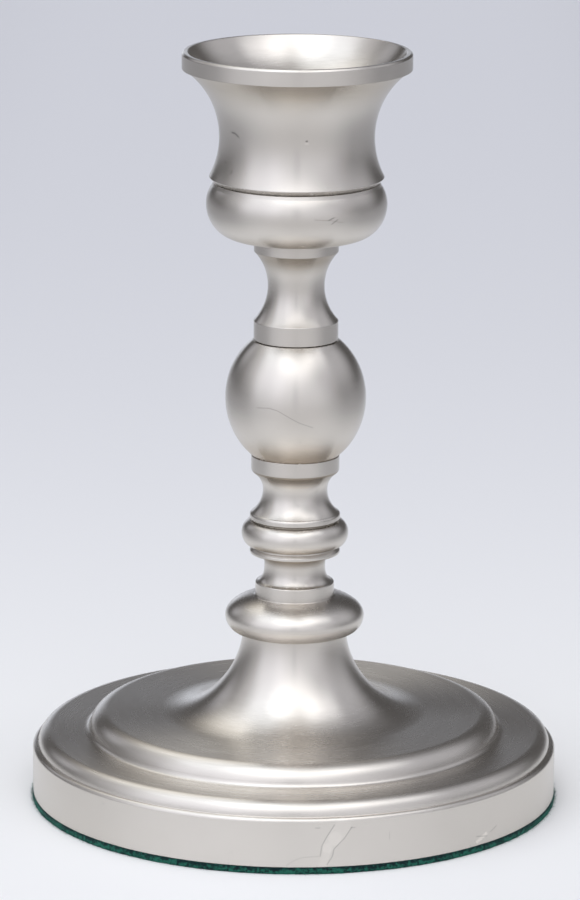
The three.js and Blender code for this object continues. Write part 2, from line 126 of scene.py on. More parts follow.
# Wear on the plate: the radius that it is unrolled at in mm, then each mark's tone, half width in mm
# and course, as degrees round from the front and mm above the table. A tone below one is darker.
WEAR = {
    "foot": (50.8, (
        (1.055, 1.45, ((10.4, 9.2), (8.9, 7.0))),
        (1.055, 1.15, ((8.9, 7.0), (7.2, 5.2))),
        (1.055, 0.75, ((7.2, 5.2), (6.7, 3.4), (6.3, 2.0))),
        (0.72, 0.10, ((8.6, 9.5), (7.0, 7.3), (6.0, 5.6), (5.6, 3.5))),
        (0.72, 0.10, ((12.3, 8.9), (10.7, 6.8), (8.5, 4.8), (8.2, 3.4), (7.1, 1.9))),
        (0.78, 0.11, ((4.6, 9.0), (5.5, 9.0))),
        (0.78, 0.11, ((12.1, 8.8), (13.0, 8.8))),
        (0.86, 0.09, ((-1.4, 1.8), (0.5, 2.9), (1.8, 3.3), (5.2, 3.5))),
        (0.82, 0.07, ((20.6, 7.3), (20.6, 5.9))),
        (1.22, 0.38, ((45.6, 3.2), (43.0, 2.1))),
        (0.72, 0.10, ((47.1, 3.3), (49.0, 4.1))),
        (0.72, 0.10, ((45.9, 2.7), (42.8, 3.2))),
        (0.70, 0.14, ((-44.9, 8.9), (-44.8, 8.9))),
        (0.88, 0.10, ((-13.6, 3.8), (-12.9, 3.9))),
    )),
    "ball_knop": (13.4, (
        (0.70, 0.07, ((-32.4, 79.8), (-22.0, 80.0), (-14.4, 79.6), (3.1, 77.3), (14.5, 76.3))),
        (0.74, 0.10, ((4.2, 73.5), (4.2, 73.2))),
        (0.74, 0.10, ((23.7, 69.7), (23.9, 69.5))),
    )),
    "cup_bowl": (17.2, (
        (0.78, 0.07, ((11.3, 117.2), (22.0, 116.9), (30.0, 116.3))),
        (0.58, 0.10, ((20.5, 117.0), (24.0, 117.4))),
        (0.62, 0.09, ((22.5, 116.2), (26.5, 117.0))),
    )),
    "candle_cup": (14.9, (
        (0.48, 0.16, ((-54.8, 132.2), (-51.0, 132.2), (-47.7, 131.6))),
        (0.45, 0.16, ((6.7, 131.7), (7.3, 131.7))),
        (1.16, 0.14, ((6.3, 131.2), (8.2, 131.2))),
        (0.70, 0.14, ((-62.0, 126.3), (-61.0, 126.2))),
        (0.70, 0.15, ((-52.0, 125.0), (-52.0, 124.6))),
    )),
    "vase_spool": (7.0, (
        (0.75, 0.08, ((44.7, 62.3), (38.7, 61.6))),
        (0.80, 0.10, ((4.7, 59.6), (5.4, 59.2))),
    )),
}

# Painted shade and painted reflection of nearby dark parts, on faces under overhangs and at seams: the
# height in mm where it is full, the height where it ends, how much of each colour it leaves and how far up
# a face may look that has any
LOOKS_DOWN = -0.05
ANY_WAY = 1.3
PAINTED_SHADE_FADE = 0.25
PAINTED_SHADE = {
    "candle_cup": ((142.6, 136.0, (0.71, 0.68, 0.635), LOOKS_DOWN),),
    "cup_bowl": ((110.4, 113.4, (0.64, 0.60, 0.54), LOOKS_DOWN),),
    "neck_spool": ((107.2, 103.6, (0.55, 0.52, 0.48), LOOKS_DOWN),),
    "ball_knop": ((68.4, 73.5, (0.74, 0.68, 0.61), LOOKS_DOWN),),
    "vase_spool": ((64.7, 62.4, (0.45, 0.415, 0.37), LOOKS_DOWN),),
    "bead_ring": (
        (50.2, 51.8, (0.66, 0.615, 0.55), LOOKS_DOWN),
        (55.4, 54.8, (0.50, 0.47, 0.42), ANY_WAY),
    ),
    "cove_spool": ((47.9, 46.2, (0.45, 0.415, 0.37), ANY_WAY),),
    "cushion_knop": (
        (33.0, 33.7, (0.60, 0.55, 0.49), LOOKS_DOWN),
        (40.3, 38.4, (0.83, 0.82, 0.81), ANY_WAY),
    ),
}

# Soft lights of the room, in degrees: bearing from the front to the right, height, and how far from its
# middle a light is full and faded out
LIGHT_PLACES = {
    "front_high": (5, 65, 13, 37),
    "right_high": (74, 65, 8, 24),
    "left_high": (-73, 67, 13, 29),
    "left_wall": (-61, 45, 11, 70),
    "left_low": (-49, 20, 15, 40),
    "front_low": (18, 5, 18, 75),
    "right_wall": (101, 41, 12, 48),
    "left_side": (-136, 25, 3, 18),
    "back_high": (-148, 55, 3, 26),
    "back_middle": (-167, 45, 6, 22),
    "back_low": (-174, -6, 6, 25),
}

# Where the shade round the camera starts and has gone, along a direction one long: aside, up and back
SHADE_ASIDE = (0.05, 0.11)
SHADE_UP = (0.5, 0.62)
SHADE_BACK = (-0.3, 0.0)

SENSOR_WIDTH = 36.0


def length(label, millimetres, note):
    return FloatProperty(
        name=label, description=note, default=millimetres * MM, min=0.0, precision=5,
        subtype="DISTANCE", unit="LENGTH",
    )


def share(label, value, note):
    return FloatProperty(name=label, description=note, default=value, min=0.0, max=1.0, subtype="FACTOR")


def count(label, value, note):
    return IntProperty(name=label, description=note, default=value, min=0)


def turn(label, degrees, note):
    return FloatProperty(
        name=label, description=note, default=math.radians(degrees), subtype="ANGLE", unit="ROTATION"
    )


def tint(label, colour, note):
    return FloatVectorProperty(
        name=label, description=note, default=colour, min=0.0, max=1.0, size=3, subtype="COLOR"
    )


def glow(label, colour, note):
    return FloatVectorProperty(
        name=label, description=note, default=colour, min=0.0, soft_max=4.0, size=3, subtype="COLOR"
    )


def seat_of(node):
    """Height of the seat that a piece stands on."""
    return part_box(node)[0].z


def top_of(node):
    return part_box(node)[1].z


def radius_of(node):
    low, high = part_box(node)
    return (high.x - low.x) / 2


class JoinerySizes(PropertyGroup):
    """Spigots and holes that the column's pieces share"""

    rod_clearance: length("Rod clearance", 0.3, "Gap from the rod to the pieces that it passes through")
    spigot_wall: length("Spigot wall", 1.3, "Wall of a spigot round the rod's hole")
    spigot_height: length("Spigot height", 1.2, "Height of a spigot above its seat")
    spigot_clearance: length("Spigot clearance", 0.3, "Gap round and above a spigot")
    edge: length("Edge", 0.1, "Round on an edge that the tool has broken")
    seam: length("Seam", 0.16, "Round on the two edges of a seam between pieces")
    relief: length("Relief", 0.16, "How far an open seam's seat is relieved at its outer edge")
    relief_width: length("Relief width", 1.4, "How far in from its edge a seat is relieved")


class FootSizes(PropertyGroup):
    """Band, shoulder, ring, step and trumpet of the foot"""

    band_height: length("Band height", 8.65, "Upright part of the band")
    band_edge: length("Band edge", 0.8, "Rounded upper edge of the band")
    quirk: length("Quirk", 0.25, "Small step from the band's edge to the shoulder")
    shoulder_depth: length("Shoulder depth", 2.65, "How far the shoulder goes in")
    shoulder_rise: length("Shoulder rise", 2.6, "How far the shoulder goes up")
    ring_width: length("Ring width", 7.3, "Flat ring between the shoulder and the step")
    step_depth: length("Step depth", 3.7, "How far the inner step goes in")
    step_rise: length("Step rise", 3.75, "How far the inner step goes up")
    step_corner: length("Step corner", 1.1, "Hollow round in the corner under the inner step")
    inner_ring_width: length("Inner ring width", 10.1, "Flat between the inner step and the trumpet")
    trumpet_radius: length("Trumpet radius", 10.03, "Radius at the top of the trumpet")
    trumpet_pull_out: length("Trumpet level pull", 11.1, "How far the trumpet's curve runs level")
    trumpet_pull_down: length("Trumpet upright pull", 5.3, "How far the trumpet's curve runs upright")
    wall: length("Wall", 3.0, "Wall of the hollow foot")
    boss_radius: length("Boss radius", 9.0, "Boss that the nut pulls on")
    boss_drop: length("Boss drop", 2.6, "How far the boss stands below the hollow's ceiling")


class KnopSizes(PropertyGroup):
    """Cushion, bead and ball of the column"""

    cushion_lower_rise: length("Cushion lower rise", 3.2, "Height of the cushion's widest place")
    cushion_lower_depth: length("Cushion lower depth", 2.75, "How far the cushion goes in below")
    cushion_upper_depth: length("Cushion upper depth", 7.8, "How far the cushion goes in above")
    cushion_lip: length("Cushion lip", 0.3, "Width of the hollow round at the cove's collar")
    cushion_lip_rise: length("Cushion lip rise", 0.05, "How far that round goes up the collar")
    ring_radius: length("Ring radius", 8.7, "Thin ring under the bead")
    ring_height: length("Ring height", 0.65, "Upright edge of the thin ring")
    ring_bevel: length("Ring bevel", 0.65, "Bevel on top of the thin ring")
    bead_neck: length("Bead neck", 8.25, "Radius of the quirks below and above the bead")
    bead_half_height: length("Bead half height", 2.5, "Half the bead's height")
    bead_quirk: length("Bead quirk", 0.25, "Height of each quirk")
    ball_half_height: length("Ball half height", 14.3, "Half the ball's height before it is faced off")


class SpoolSizes(PropertyGroup):
    """Hollow-waisted pieces of the column"""

    cove_collar_height: length("Cove collar height", 2.5, "Upright collar under the cove")
    cove_collar_edge: length("Cove collar edge", 0.15, "Bevel on top of that collar")
    cove_waist: length("Cove waist", 5.86, "Radius of the cove's waist")
    cove_lower_rise: length("Cove lower rise", 2.85, "From the collar to the waist")
    cove_top: length("Cove top", 6.6, "Radius at the cove's upper end")
    vase_foot_height: length("Vase foot height", 0.8, "Upright edge at the vase's foot")
    vase_edge_depth: length("Vase edge depth", 0.44, "How far the vase's rounded edges go in")
    vase_lower_edge: length("Vase lower edge", 0.6, "Height of the rounded edge above the vase's foot")
    vase_waist: length("Vase waist", 6.2, "Radius of the vase's waist")
    vase_lower_rise: length("Vase lower rise", 4.35, "From the lower edge to the waist")
    vase_upper_edge: length("Vase upper edge", 0.85, "Height of the rounded edge below the collar")
    vase_collar: length("Vase collar", 8.49, "Radius of the vase's collar")
    vase_collar_height: length("Vase collar height", 2.6, "Height of the vase's collar")
    neck_lower_height: length("Neck lower height", 3.8, "Upright collar at the neck's foot")
    neck_lower_rise: length("Neck lower rise", 6.75, "From that collar to the waist")
    neck_waist: length("Neck waist", 5.42, "Radius of the neck's waist")
    neck_upper_height: length("Neck upper height", 2.5, "Upright collar under the bowl")


class CupSizes(PropertyGroup):
    """Bowl and candle cup"""

    bowl_lower_rise: length("Bowl lower rise", 6.7, "Height of the bowl's widest place")
    bowl_lower_depth: length("Bowl lower depth", 6.0, "How far the bowl goes in below")
    bowl_top: length("Bowl top", 16.15, "Radius at the edge of the groove")
    bowl_bevel_rise: length("Bowl bevel rise", 0.7, "Lower side of the groove")
    seam_radius: length("Seam radius", 15.85, "Bottom of the groove between bowl and cup")
    boss_radius: length("Boss radius", 6.0, "Threaded boss under the cup")
    hole_reach: length("Hole reach", 1.3, "How far the boss's blind hole runs up into the floor")
    edge_rise: length("Edge rise", 1.0, "Upper side of the groove")
    edge_radius: length("Edge radius", 16.68, "Lower edge of the cup")
    waist: length("Waist", 14.78, "Radius of the cup's waist")
    lower_rise: length("Lower rise", 7.6, "From the cup's lower edge to its waist")
    flare_rise: length("Flare rise", 13.1, "From the waist to the lip")
    lip_step: length("Lip step", 0.45, "How far the lip stands out from the flare")
    lip_chamfer: length("Lip chamfer", 0.35, "Chamfer on the lip's upper edge")
    lip_top_width: length("Lip top width", 0.75, "Flat on top of the lip")
    bore_radius: length("Bore radius", 11.25, "Socket for a taper candle")
    bore_height: length("Bore height", 14.5, "Straight part of the socket")
    mouth_hollow: length("Mouth hollow", 1.06, "How far the mouth is dished below a straight cone")
    floor: length("Floor", 3.1, "Thickness under the socket")


class FeltSizes(PropertyGroup):
    """Felt pad and its loose fibres"""

    edge_wander: length("Edge wander", 0.24, "How far the scissored edge wanders")
    edge_round: length("Edge round", 0.3, "Rounding of the cut edge")
    fibre_count: count("Fibres", 3600, "Loose fibres round the edge")
    fibre_length: length("Fibre length", 0.75, "Longest loose fibre")
    fibre_width: length("Fibre width", 0.028, "Thickness of a fibre at its root")
    fibre_root: length("Fibre root", 0.25, "How deep in the felt a fibre starts")
    fibre_rise: length("Fibre rise", 0.25, "How far a fibre may stand above the felt")
    fibre_gap: length("Fibre gap", 0.02, "Least gap from a fibre's middle to the table")


class FastenerSizes(PropertyGroup):
    """Tie rod, nut and washers"""

    pitch: length("Thread pitch", 1.27, "Rise of the thread in one turn")
    thread_depth: length("Thread depth", 0.55, "Depth of the thread")
    lower_thread: length("Lower thread", 16.0, "Threaded length at the nut")
    upper_thread: length("Upper thread", 8.5, "Threaded length in the cup's boss")
    nut_flats: length("Nut across flats", 11.1, "Width of the nut")
    nut_bevel: turn("Nut bevel", 30.0, "Slope of the bevel on the nut's corners")
    nut_face: share("Nut face", 0.985, "Round face of the nut, as a part of its width")
    nut_sink: length("Nut countersink", 0.5, "Bevel at the ends of the nut's hole")
    nut_edge: length("Nut edge", 0.02, "Least bevel, in the middle of a flat")
    washer_edge: length("Washer edge", 0.3, "Pressed round on the washers' edges")
    split_gap: length("Split gap", 1.5, "Width of the split in the spring washer")
    split_slant: share("Split slant", 0.8, "How far the split slants, as a part of half its width")


class FinishLooks(PropertyGroup):
    """Colours and surface of the finishes"""

    nickel: tint("Nickel", (0.73, 0.695, 0.645), "Satin nickel where the lines catch the light")
    nickel_shade: tint("Nickel shade", (0.65, 0.615, 0.565), "Satin nickel where it has dulled")
    nickel_roughness: share("Nickel roughness", 0.27, "How far the satin lines spread the light")
    nickel_lines: share("Lathe lines", 0.92, "How much more the lines spread light across than along")
    line_pitch: length("Line pitch", 0.3, "Spacing of the fine lathe lines")
    line_depth: length("Line depth", 0.0012, "Depth of the fine lathe lines")
    zinc: tint("Zinc", (0.58, 0.60, 0.62), "Zinc plate on the rod, nut and washers")
    zinc_shade: tint("Zinc shade", (0.38, 0.39, 0.39), "Dulled zinc plate")
    zinc_roughness: share("Zinc roughness", 0.34, "Roughness of bright zinc plate")
    zinc_dulled: share("Dulled zinc roughness", 0.5, "Roughness of dulled zinc plate")
    zinc_depth: length("Zinc depth", 0.01, "Depth of the blotches in the zinc plate")
    felt: tint("Felt", (0.019, 0.125, 0.086), "Dark green wool")
    felt_shade: tint("Felt shade", (0.004, 0.014, 0.017), "Green wool in the depth of the felt")
    felt_sheen: tint("Felt sheen", (0.25, 0.6, 0.5), "Light that the wool's fine hairs catch")
    felt_depth: length("Felt depth", 0.15, "Depth of the mat of fibres")


class StageLooks(PropertyGroup):
    """Table, light and camera"""

    table_radius: length("Table radius", 4000.0, "Radius of the pale table top")
    # The table's tones paint a pool of light round the foot, and shade far behind, in front and to the
    # sides.
    table_near: tint("Table near", (0.888, 0.888, 0.883), "Table top round the foot")
    table_far: tint("Table far", (0.618, 0.622, 0.655), "Table top far behind")
    table_fade: length("Table fade", 250.0, "How soon the table top darkens behind the foot")
    fade_start: length("Fade start", 60.0, "Where the table top starts to darken behind the axis")
    table_front: tint("Table front", (0.62, 0.605, 0.595), "Table top well in front of the foot")
    front_start: length("Front start", 68.0, "Where the table top starts to darken in front")
    front_end: length("Front end", 240.0, "Where it has darkened in front")
    table_aside: tint("Table aside", (0.40, 0.40, 0.41), "Table top out to the sides")
    aside_start: length("Aside start", 70.0, "Where the table top starts to darken to the sides")
    aside_end: length("Aside end", 310.0, "Where it has darkened to the sides")
    aside_front: length("Aside front", 500.0, "How far in front the sides have darkened")
    front_high: glow("Front high light", (1.20, 1.22, 1.25), "Big soft box high in front")
    right_high: glow("Right high light", (1.04, 1.05, 1.10), "Soft box high on the right")
    left_high: glow("Left high light", (0.64, 0.70, 0.76), "Soft box high on the left")
    left_wall: glow("Left wall", (0.76, 0.77, 0.83), "Pale wall on the left")
    left_low: glow("Left low light", (0.375, 0.385, 0.44), "Window in front on the left")
    front_low: glow("Front low light", (0.77, 0.78, 0.85), "Pale wall across the front")
    right_wall: glow("Right wall", (0.51, 0.52, 0.57), "Pale wall on the right")
    left_side: glow("Left side light", (0.44, 0.45, 0.5), "Window behind on the left")
    back_high: glow("Back high light", (0.96, 0.98, 0.98), "Light high behind on the left")
    back_middle: glow("Back light", (0.6, 0.56, 0.5), "Light behind")
    back_low: glow("Back low light", (1.07, 1.14, 1.29), "Far end of the table behind")
    dim_room: glow("Dim room", (0.108, 0.105, 0.107), "The rest of the room")
    camera_shade: share("Camera shade", 0.80, "Light left round the camera")
    camera_distance: length("Camera distance", 952.7, "Camera in front of the candlestick's axis")
    camera_height: length("Camera height", 300.2, "Camera above the table")
    camera_aside: length("Camera aside", 1.02, "Camera to the left of the axis")
    camera_pitch: turn("Camera pitch", 13.65, "How far the camera looks down")
    camera_roll: turn("Camera roll", 0.295, "How far the camera leans to the left")
    camera_lens: FloatProperty(
        name="Lens", description="Focal length on a 36 mm sensor", default=203.9,
        subtype="DISTANCE_CAMERA",
    )


class CandlestickSettings(PropertyGroup):
    """Sizes and looks of the whole candlestick"""

    joinery: PointerProperty(type=JoinerySizes)
    foot: PointerProperty(type=FootSizes)
    knops: PointerProperty(type=KnopSizes)
    spools: PointerProperty(type=SpoolSizes)
    cup: PointerProperty(type=CupSizes)
    felt: PointerProperty(type=FeltSizes)
    fasteners: PointerProperty(type=FastenerSizes)
    looks: PointerProperty(type=FinishLooks)
    stage: PointerProperty(type=StageLooks)


class Outline:
    """Pen that draws a turned piece's outline as radius and height, going up on the outside.
    A stretch's round is the size of the small round on the corner at its end."""

    def __init__(self, r, z, edge):
        self.points = [(r, z)]
        self.edge = edge
        self.rounds = {}

    def _add(self, points, corner):
        self.points.extend(points)
        if corner > 0:
            self.rounds[len(self.points) - 1] = corner

    def _steps(self, r, z):
        """Steps of a curve to a point, a little longer than the straight way."""
        r0, z0 = self.points[-1]
        return max(CURVE_STEPS, math.ceil(CURVE_EXCESS * math.hypot(r - r0, z - z0) / OUTLINE_STEP))

    def line(self, r, z, corner=None):
        self._add([(r, z)], self.edge if corner is None else corner)

    def quarter(self, r, z, upright_first, corner=0.0, end=math.pi / 2):
        """Quarter of an ellipse, upright at one end and level at the other, or its start up to an angle."""
        r0, z0 = self.points[-1]
        steps = self._steps(r, z)
        turns = [end * i / steps for i in range(1, steps + 1)]
        if upright_first:
            points = [(r + (r0 - r) * math.cos(t), z0 + (z - z0) * math.sin(t)) for t in turns]
        else:
            points = [(r0 + (r - r0) * math.sin(t), z + (z0 - z) * math.cos(t)) for t in turns]
        self._add(points, corner)

    def sweep(self, r, z, upright_first, corner=0.0):
        """Arc of a circle that is upright at its start or at its end."""
        r0, z0 = self.points[-1]
        depth, rise = r - r0, z - z0
        radius = (depth * depth + rise * rise) / (2 * abs(depth))
        if upright_first:
            self._arc(r0 + math.copysign(radius, depth), z0, r, z, corner)
        else:
            self._arc(r - math.copysign(radius, depth), z, r, z, corner)

    def dish(self, r, z, depth, corner=0.0):
        """Arc of a circle that is cut a given depth below the straight way to its end."""
        r0, z0 = self.points[-1]
        half = math.hypot(r - r0, z - z0) / 2
        reach = ((half * half + depth * depth) / (2 * depth) - depth) / (2 * half)
        self._arc((r0 + r) / 2 + (z - z0) * reach, (z0 + z) / 2 - (r - r0) * reach, r, z, corner)

    def _arc(self, centre_r, centre_z, r, z, corner):
        r0, z0 = self.points[-1]
        radius = math.hypot(r - centre_r, z - centre_z)
        start = math.atan2(z0 - centre_z, r0 - centre_r)
        sweep = math.remainder(math.atan2(z - centre_z, r - centre_r) - start, 2 * math.pi)
        steps = self._steps(r, z)
        turns = [start + sweep * i / steps for i in range(1, steps + 1)]
        points = [(centre_r + radius * math.cos(t), centre_z + radius * math.sin(t)) for t in turns]
        self._add(points, corner)

    def oval(self, centre_z, radius, half_height, start, end, corner=0.0):
        """Stretch of an ellipse centred on the axis."""
        steps = math.ceil(abs(end - start) * max(radius, half_height) / OUTLINE_STEP)
        turns = [start + (end - start) * i / steps for i in range(1, steps + 1)]
        self._add([(radius * math.cos(t), centre_z + half_height * math.sin(t)) for t in turns], corner)

    def curve(self, pull_a, pull_b, end, corner=0.0):
        """Smooth curve that leaves towards the first pull and arrives from the second."""
        start, a, b, c = (np.array(p) for p in (self.points[-1], pull_a, pull_b, end))
        steps = 2 * self._steps(*end)
        t = np.linspace(0, 1, steps + 1)[1:, None]
        leaving = (1 - t) ** 3 * start + 3 * t * (1 - t) ** 2 * a
        points = leaving + 3 * t * t * (1 - t) * b + t ** 3 * c
        self._add([tuple(p) for p in points], corner)

    def _along(self, corner, way, reach):
        """The point a given reach from a corner along the outline, and the last point passed."""
        index = corner
        left = reach
        while True:
            following = (index + way) % len(self.points)
            here, there = np.array(self.points[index]), np.array(self.points[following])
            gap = float(np.linalg.norm(there - here))
            if left < 0.5 * gap or (left < gap and following not in self.rounds):
                return here + (there - here) * left / gap, index
            if following in self.rounds or following in (0, corner):
                return here + (there - here) * SHARED_REACH, index
            left -= gap
            index = following

    def finished(self):
        """Points of the outline with its corners rounded."""
        dropped = set()
        fillets = {}
        for corner, size in self.rounds.items():
            before, last_back = self._along(corner, -1, size)
            after, last_on = self._along(corner, 1, size)
            dropped.update(range(last_back, last_on + 1) if last_on >= last_back else [corner])
            middle = np.array(self.points[corner])
            t = np.linspace(0, 1, ROUND_STEPS + 1)[:, None]
            fillets[corner] = (1 - t) ** 2 * before + 2 * t * (1 - t) * middle + t * t * after
        points = []
        for index, point in enumerate(self.points):
            if index in fillets:
                points.extend(tuple(p) for p in fillets[index])
            elif index not in dropped:
                points.append(point)
        return np.array(points)


def outline_normals(points, on_axis):
    """Normals of an outline in which the longer of two neighbouring stretches leads."""
    step = np.roll(points, -1, axis=0) - points
    if on_axis:
        step[-1] = 0
    reach = np.hypot(step[:, 0], step[:, 1])[:, None]
    outward = np.stack([step[:, 1], -step[:, 0]], axis=1) * reach
    normals = outward + np.roll(outward, 1, axis=0)
    return normals / np.maximum(np.hypot(normals[:, 0], normals[:, 1]), np.finfo(float).tiny)[:, None]


def band(low, high, sides):
    """Faces between two rings of points, each given by its first point."""
    return [(low + i, low + (i + 1) % sides, high + (i + 1) % sides, high + i) for i in range(sides)]


def fan(tip, ring, sides):
    """Faces from a tip to a ring of points."""
    return [(tip, ring + i, ring + (i + 1) % sides) for i in range(sides)]


def flipped(faces):
    return [face[::-1] for face in faces]


def round_ring(radius, z, sides):
    """Points of a level ring about the axis."""
    angles = [2 * math.pi * i / sides for i in range(sides)]
    return [(radius * math.cos(angle), radius * math.sin(angle), z) for angle in angles]


def revolve(name, outline, sides):
    """Turned piece from an outline that closes on itself, or that starts and ends on the axis."""
    points = outline.finished()
    on_axis = points[0, 0] < ON_AXIS
    normals = outline_normals(points, on_axis)
    run = np.concatenate([[0], np.cumsum(np.hypot(*np.diff(points, axis=0).T))])
    angle = np.arange(sides) * (2 * math.pi / sides)
    across, along = np.cos(angle), np.sin(angle)
    verts, vert_normals, vert_run, rows = [], [], [], []
    for (r, z), (nr, nz), distance in zip(points, normals, run):
        pole = r < ON_AXIS
        rows.append((len(verts), pole))
        if pole:
            verts.append((0, 0, z))
            vert_normals.append((0, 0, math.copysign(1, nz)))
            vert_run.append(distance)
        else:
            verts.extend(zip(r * across, r * along, [z] * sides))
            vert_normals.extend(zip(nr * across, nr * along, [nz] * sides))
            vert_run.extend([distance] * sides)
    faces = []
    pairs = list(zip(rows, rows[1:])) + ([] if on_axis else [(rows[-1], rows[0])])
    for (low, low_pole), (high, high_pole) in pairs:
        if low_pole:
            faces += flipped(fan(low, high, sides))
        elif high_pole:
            faces += fan(high, low, sides)
        else:
            faces += band(low, high, sides)
    piece = mesh_piece(name, verts, faces)
    piece.data.normals_split_custom_set_from_vertices(vert_normals)
    attribute = piece.data.attributes.new("outline_run", "FLOAT", "POINT")
    attribute.data.foreach_set("value", np.array(vert_run, np.float32))
    return piece


def mesh_piece(name, verts, faces):
    mesh = bpy.data.meshes.new(name)
    mesh.from_pydata(verts, [], faces)
    mesh.validate()
    mesh.shade_smooth()
    piece = bpy.data.objects.new(name, mesh)
    bpy.context.scene.collection.objects.link(piece)
    return piece


def dress(piece, node, material):
    """Give a finished piece its material and put it in the place of its solid."""
    piece.data.materials.append(material)
    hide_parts(node)
    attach(piece, BODY)
    return piece


class Wiring:
    """Short calls that place a material's nodes and link them."""

    def __init__(self, tree):
        self.tree = tree
        tree.nodes.clear()

    def feed(self, socket, value):
        if isinstance(value, bpy.types.NodeSocket):
            self.tree.links.new(value, socket)
        else:
            socket.default_value = value

    def node(self, kind, feeds=None, **settings):
        made = self.tree.nodes.new(kind)
        for name, value in settings.items():
            setattr(made, name, value)
        for socket, value in (feeds or {}).items():
            self.feed(made.inputs[socket], value)
        return made

    def math(self, operation, *values, clamp=False):
        made = self.node("ShaderNodeMath", operation=operation, use_clamp=clamp)
        for socket, value in zip(made.inputs, values):
            self.feed(socket, value)
        return made.outputs[0]

    def vector(self, operation, *values):
        made = self.node("ShaderNodeVectorMath", operation=operation)
        for socket, value in zip(made.inputs, values):
            self.feed(socket, value)
        return made.outputs["Value" if operation in ("DOT_PRODUCT", "DISTANCE", "LENGTH") else "Vector"]

    def scaled(self, vector, factor):
        made = self.node("ShaderNodeVectorMath", {0: vector, "Scale": factor}, operation="SCALE")
        return made.outputs["Vector"]

    def combine(self, x, y, z):
        return self.node("ShaderNodeCombineXYZ", {0: x, 1: y, 2: z}).outputs[0]

    def split(self, vector):
        return self.node("ShaderNodeSeparateXYZ", {0: vector}).outputs

    def spread(self, value, low, high, to_low=0.0, to_high=1.0, smooth=True):
        """Value carried from one range to another, held at its ends."""
        kind = "SMOOTHSTEP" if smooth else "LINEAR"
        feeds = {"Value": value, "From Min": low, "From Max": high, "To Min": to_low, "To Max": to_high}
        return self.node("ShaderNodeMapRange", feeds, interpolation_type=kind).outputs["Result"]

    def noise(self, vector, scale=1.0, detail=2.0, roughness=0.5):
        feeds = {"Vector": vector, "Scale": scale, "Detail": detail, "Roughness": roughness}
        return self.node("ShaderNodeTexNoise", feeds).outputs["Fac"]

    def blend(self, factor, low, high):
        made = self.node("ShaderNodeMix", data_type="RGBA")
        self.feed(made.inputs[0], factor)
        for socket, value in ((made.inputs[6], low), (made.inputs[7], high)):
            self.feed(socket, value if isinstance(value, bpy.types.NodeSocket) else (*value, 1.0))
        return made.outputs[2]


def new_material(name):
    material = bpy.data.materials.new(name)
    material.use_nodes = True
    return material, Wiring(material.node_tree)


def shader_out(wiring, feeds):
    shader = wiring.node("ShaderNodeBsdfPrincipled", feeds)
    wiring.node("ShaderNodeOutputMaterial", {"Surface": shader.outputs["BSDF"]})


def raised(wiring, height, depth, strength):
    """Normal of a surface that a pattern raises."""
    feeds = {"Height": height, "Distance": depth, "Strength": strength}
    return wiring.node("ShaderNodeBump", feeds).outputs["Normal"]


def round_the_axis(wiring):
    """Place on the surface, and its direction from the axis as a level unit vector."""
    place = wiring.node("ShaderNodeTexCoord").outputs["Object"]
    level = wiring.vector("MULTIPLY", place, (1.0, 1.0, 0.0))
    return place, wiring.vector("NORMALIZE", level)


def lathe_lines(wiring, around, run, fine_pitch, kind):
    """Noise drawn out into lines round the axis, a pitch apart along the outline."""
    pitches, changes = kind
    x, y, _ = wiring.split(wiring.scaled(around, changes))
    turns = wiring.math("DIVIDE", run, pitches * fine_pitch)
    return wiring.noise(wiring.combine(x, y, turns), detail=1.0)


def away_from(w, place, start, end):
    """Distance of a place from the straight line between two others."""
    way = Vector(end) - Vector(start)
    offset = w.vector("SUBTRACT", place, start)
    along = w.vector("DOT_PRODUCT", offset, way / way.length_squared)
    held = w.math("ADD", along, 0.0, clamp=True)
    return w.vector("DISTANCE", offset, w.scaled(way, held))


def worn(w, place, node, colour):
    """Colour of the plate with its scratches, nicks and peeled lacquer, on the unrolled surface."""
    radius, marks = WEAR[node]
    x, y, z = w.split(place)
    turned = w.math("ARCTAN2", x, w.math("MULTIPLY", y, -1.0))
    flat = w.combine(w.math("MULTIPLY", turned, radius * MM), z, 0.0)
    frayed = w.math("SUBTRACT", w.noise(place, RAGGED_SCALE), 0.5)
    frayed = w.math("MULTIPLY", frayed, RAGGED_REACH * MM)
    for tone, half_width, course in marks:
        points = [(math.radians(degrees) * radius * MM, height * MM, 0.0) for degrees, height in course]
        nearest = away_from(w, flat, points[0], points[1])
        for start, end in zip(points[1:], points[2:]):
            nearest = w.math("MINIMUM", nearest, away_from(w, flat, start, end))
        if half_width > RAGGED_WIDTH:
            nearest = w.math("ADD", nearest, frayed)
        edge = min(half_width, MARK_SOFTNESS) * MM
        factor = w.spread(nearest, half_width * MM - edge, half_width * MM + edge, tone, 1.0)
        colour = w.scaled(colour, factor)
    return colour


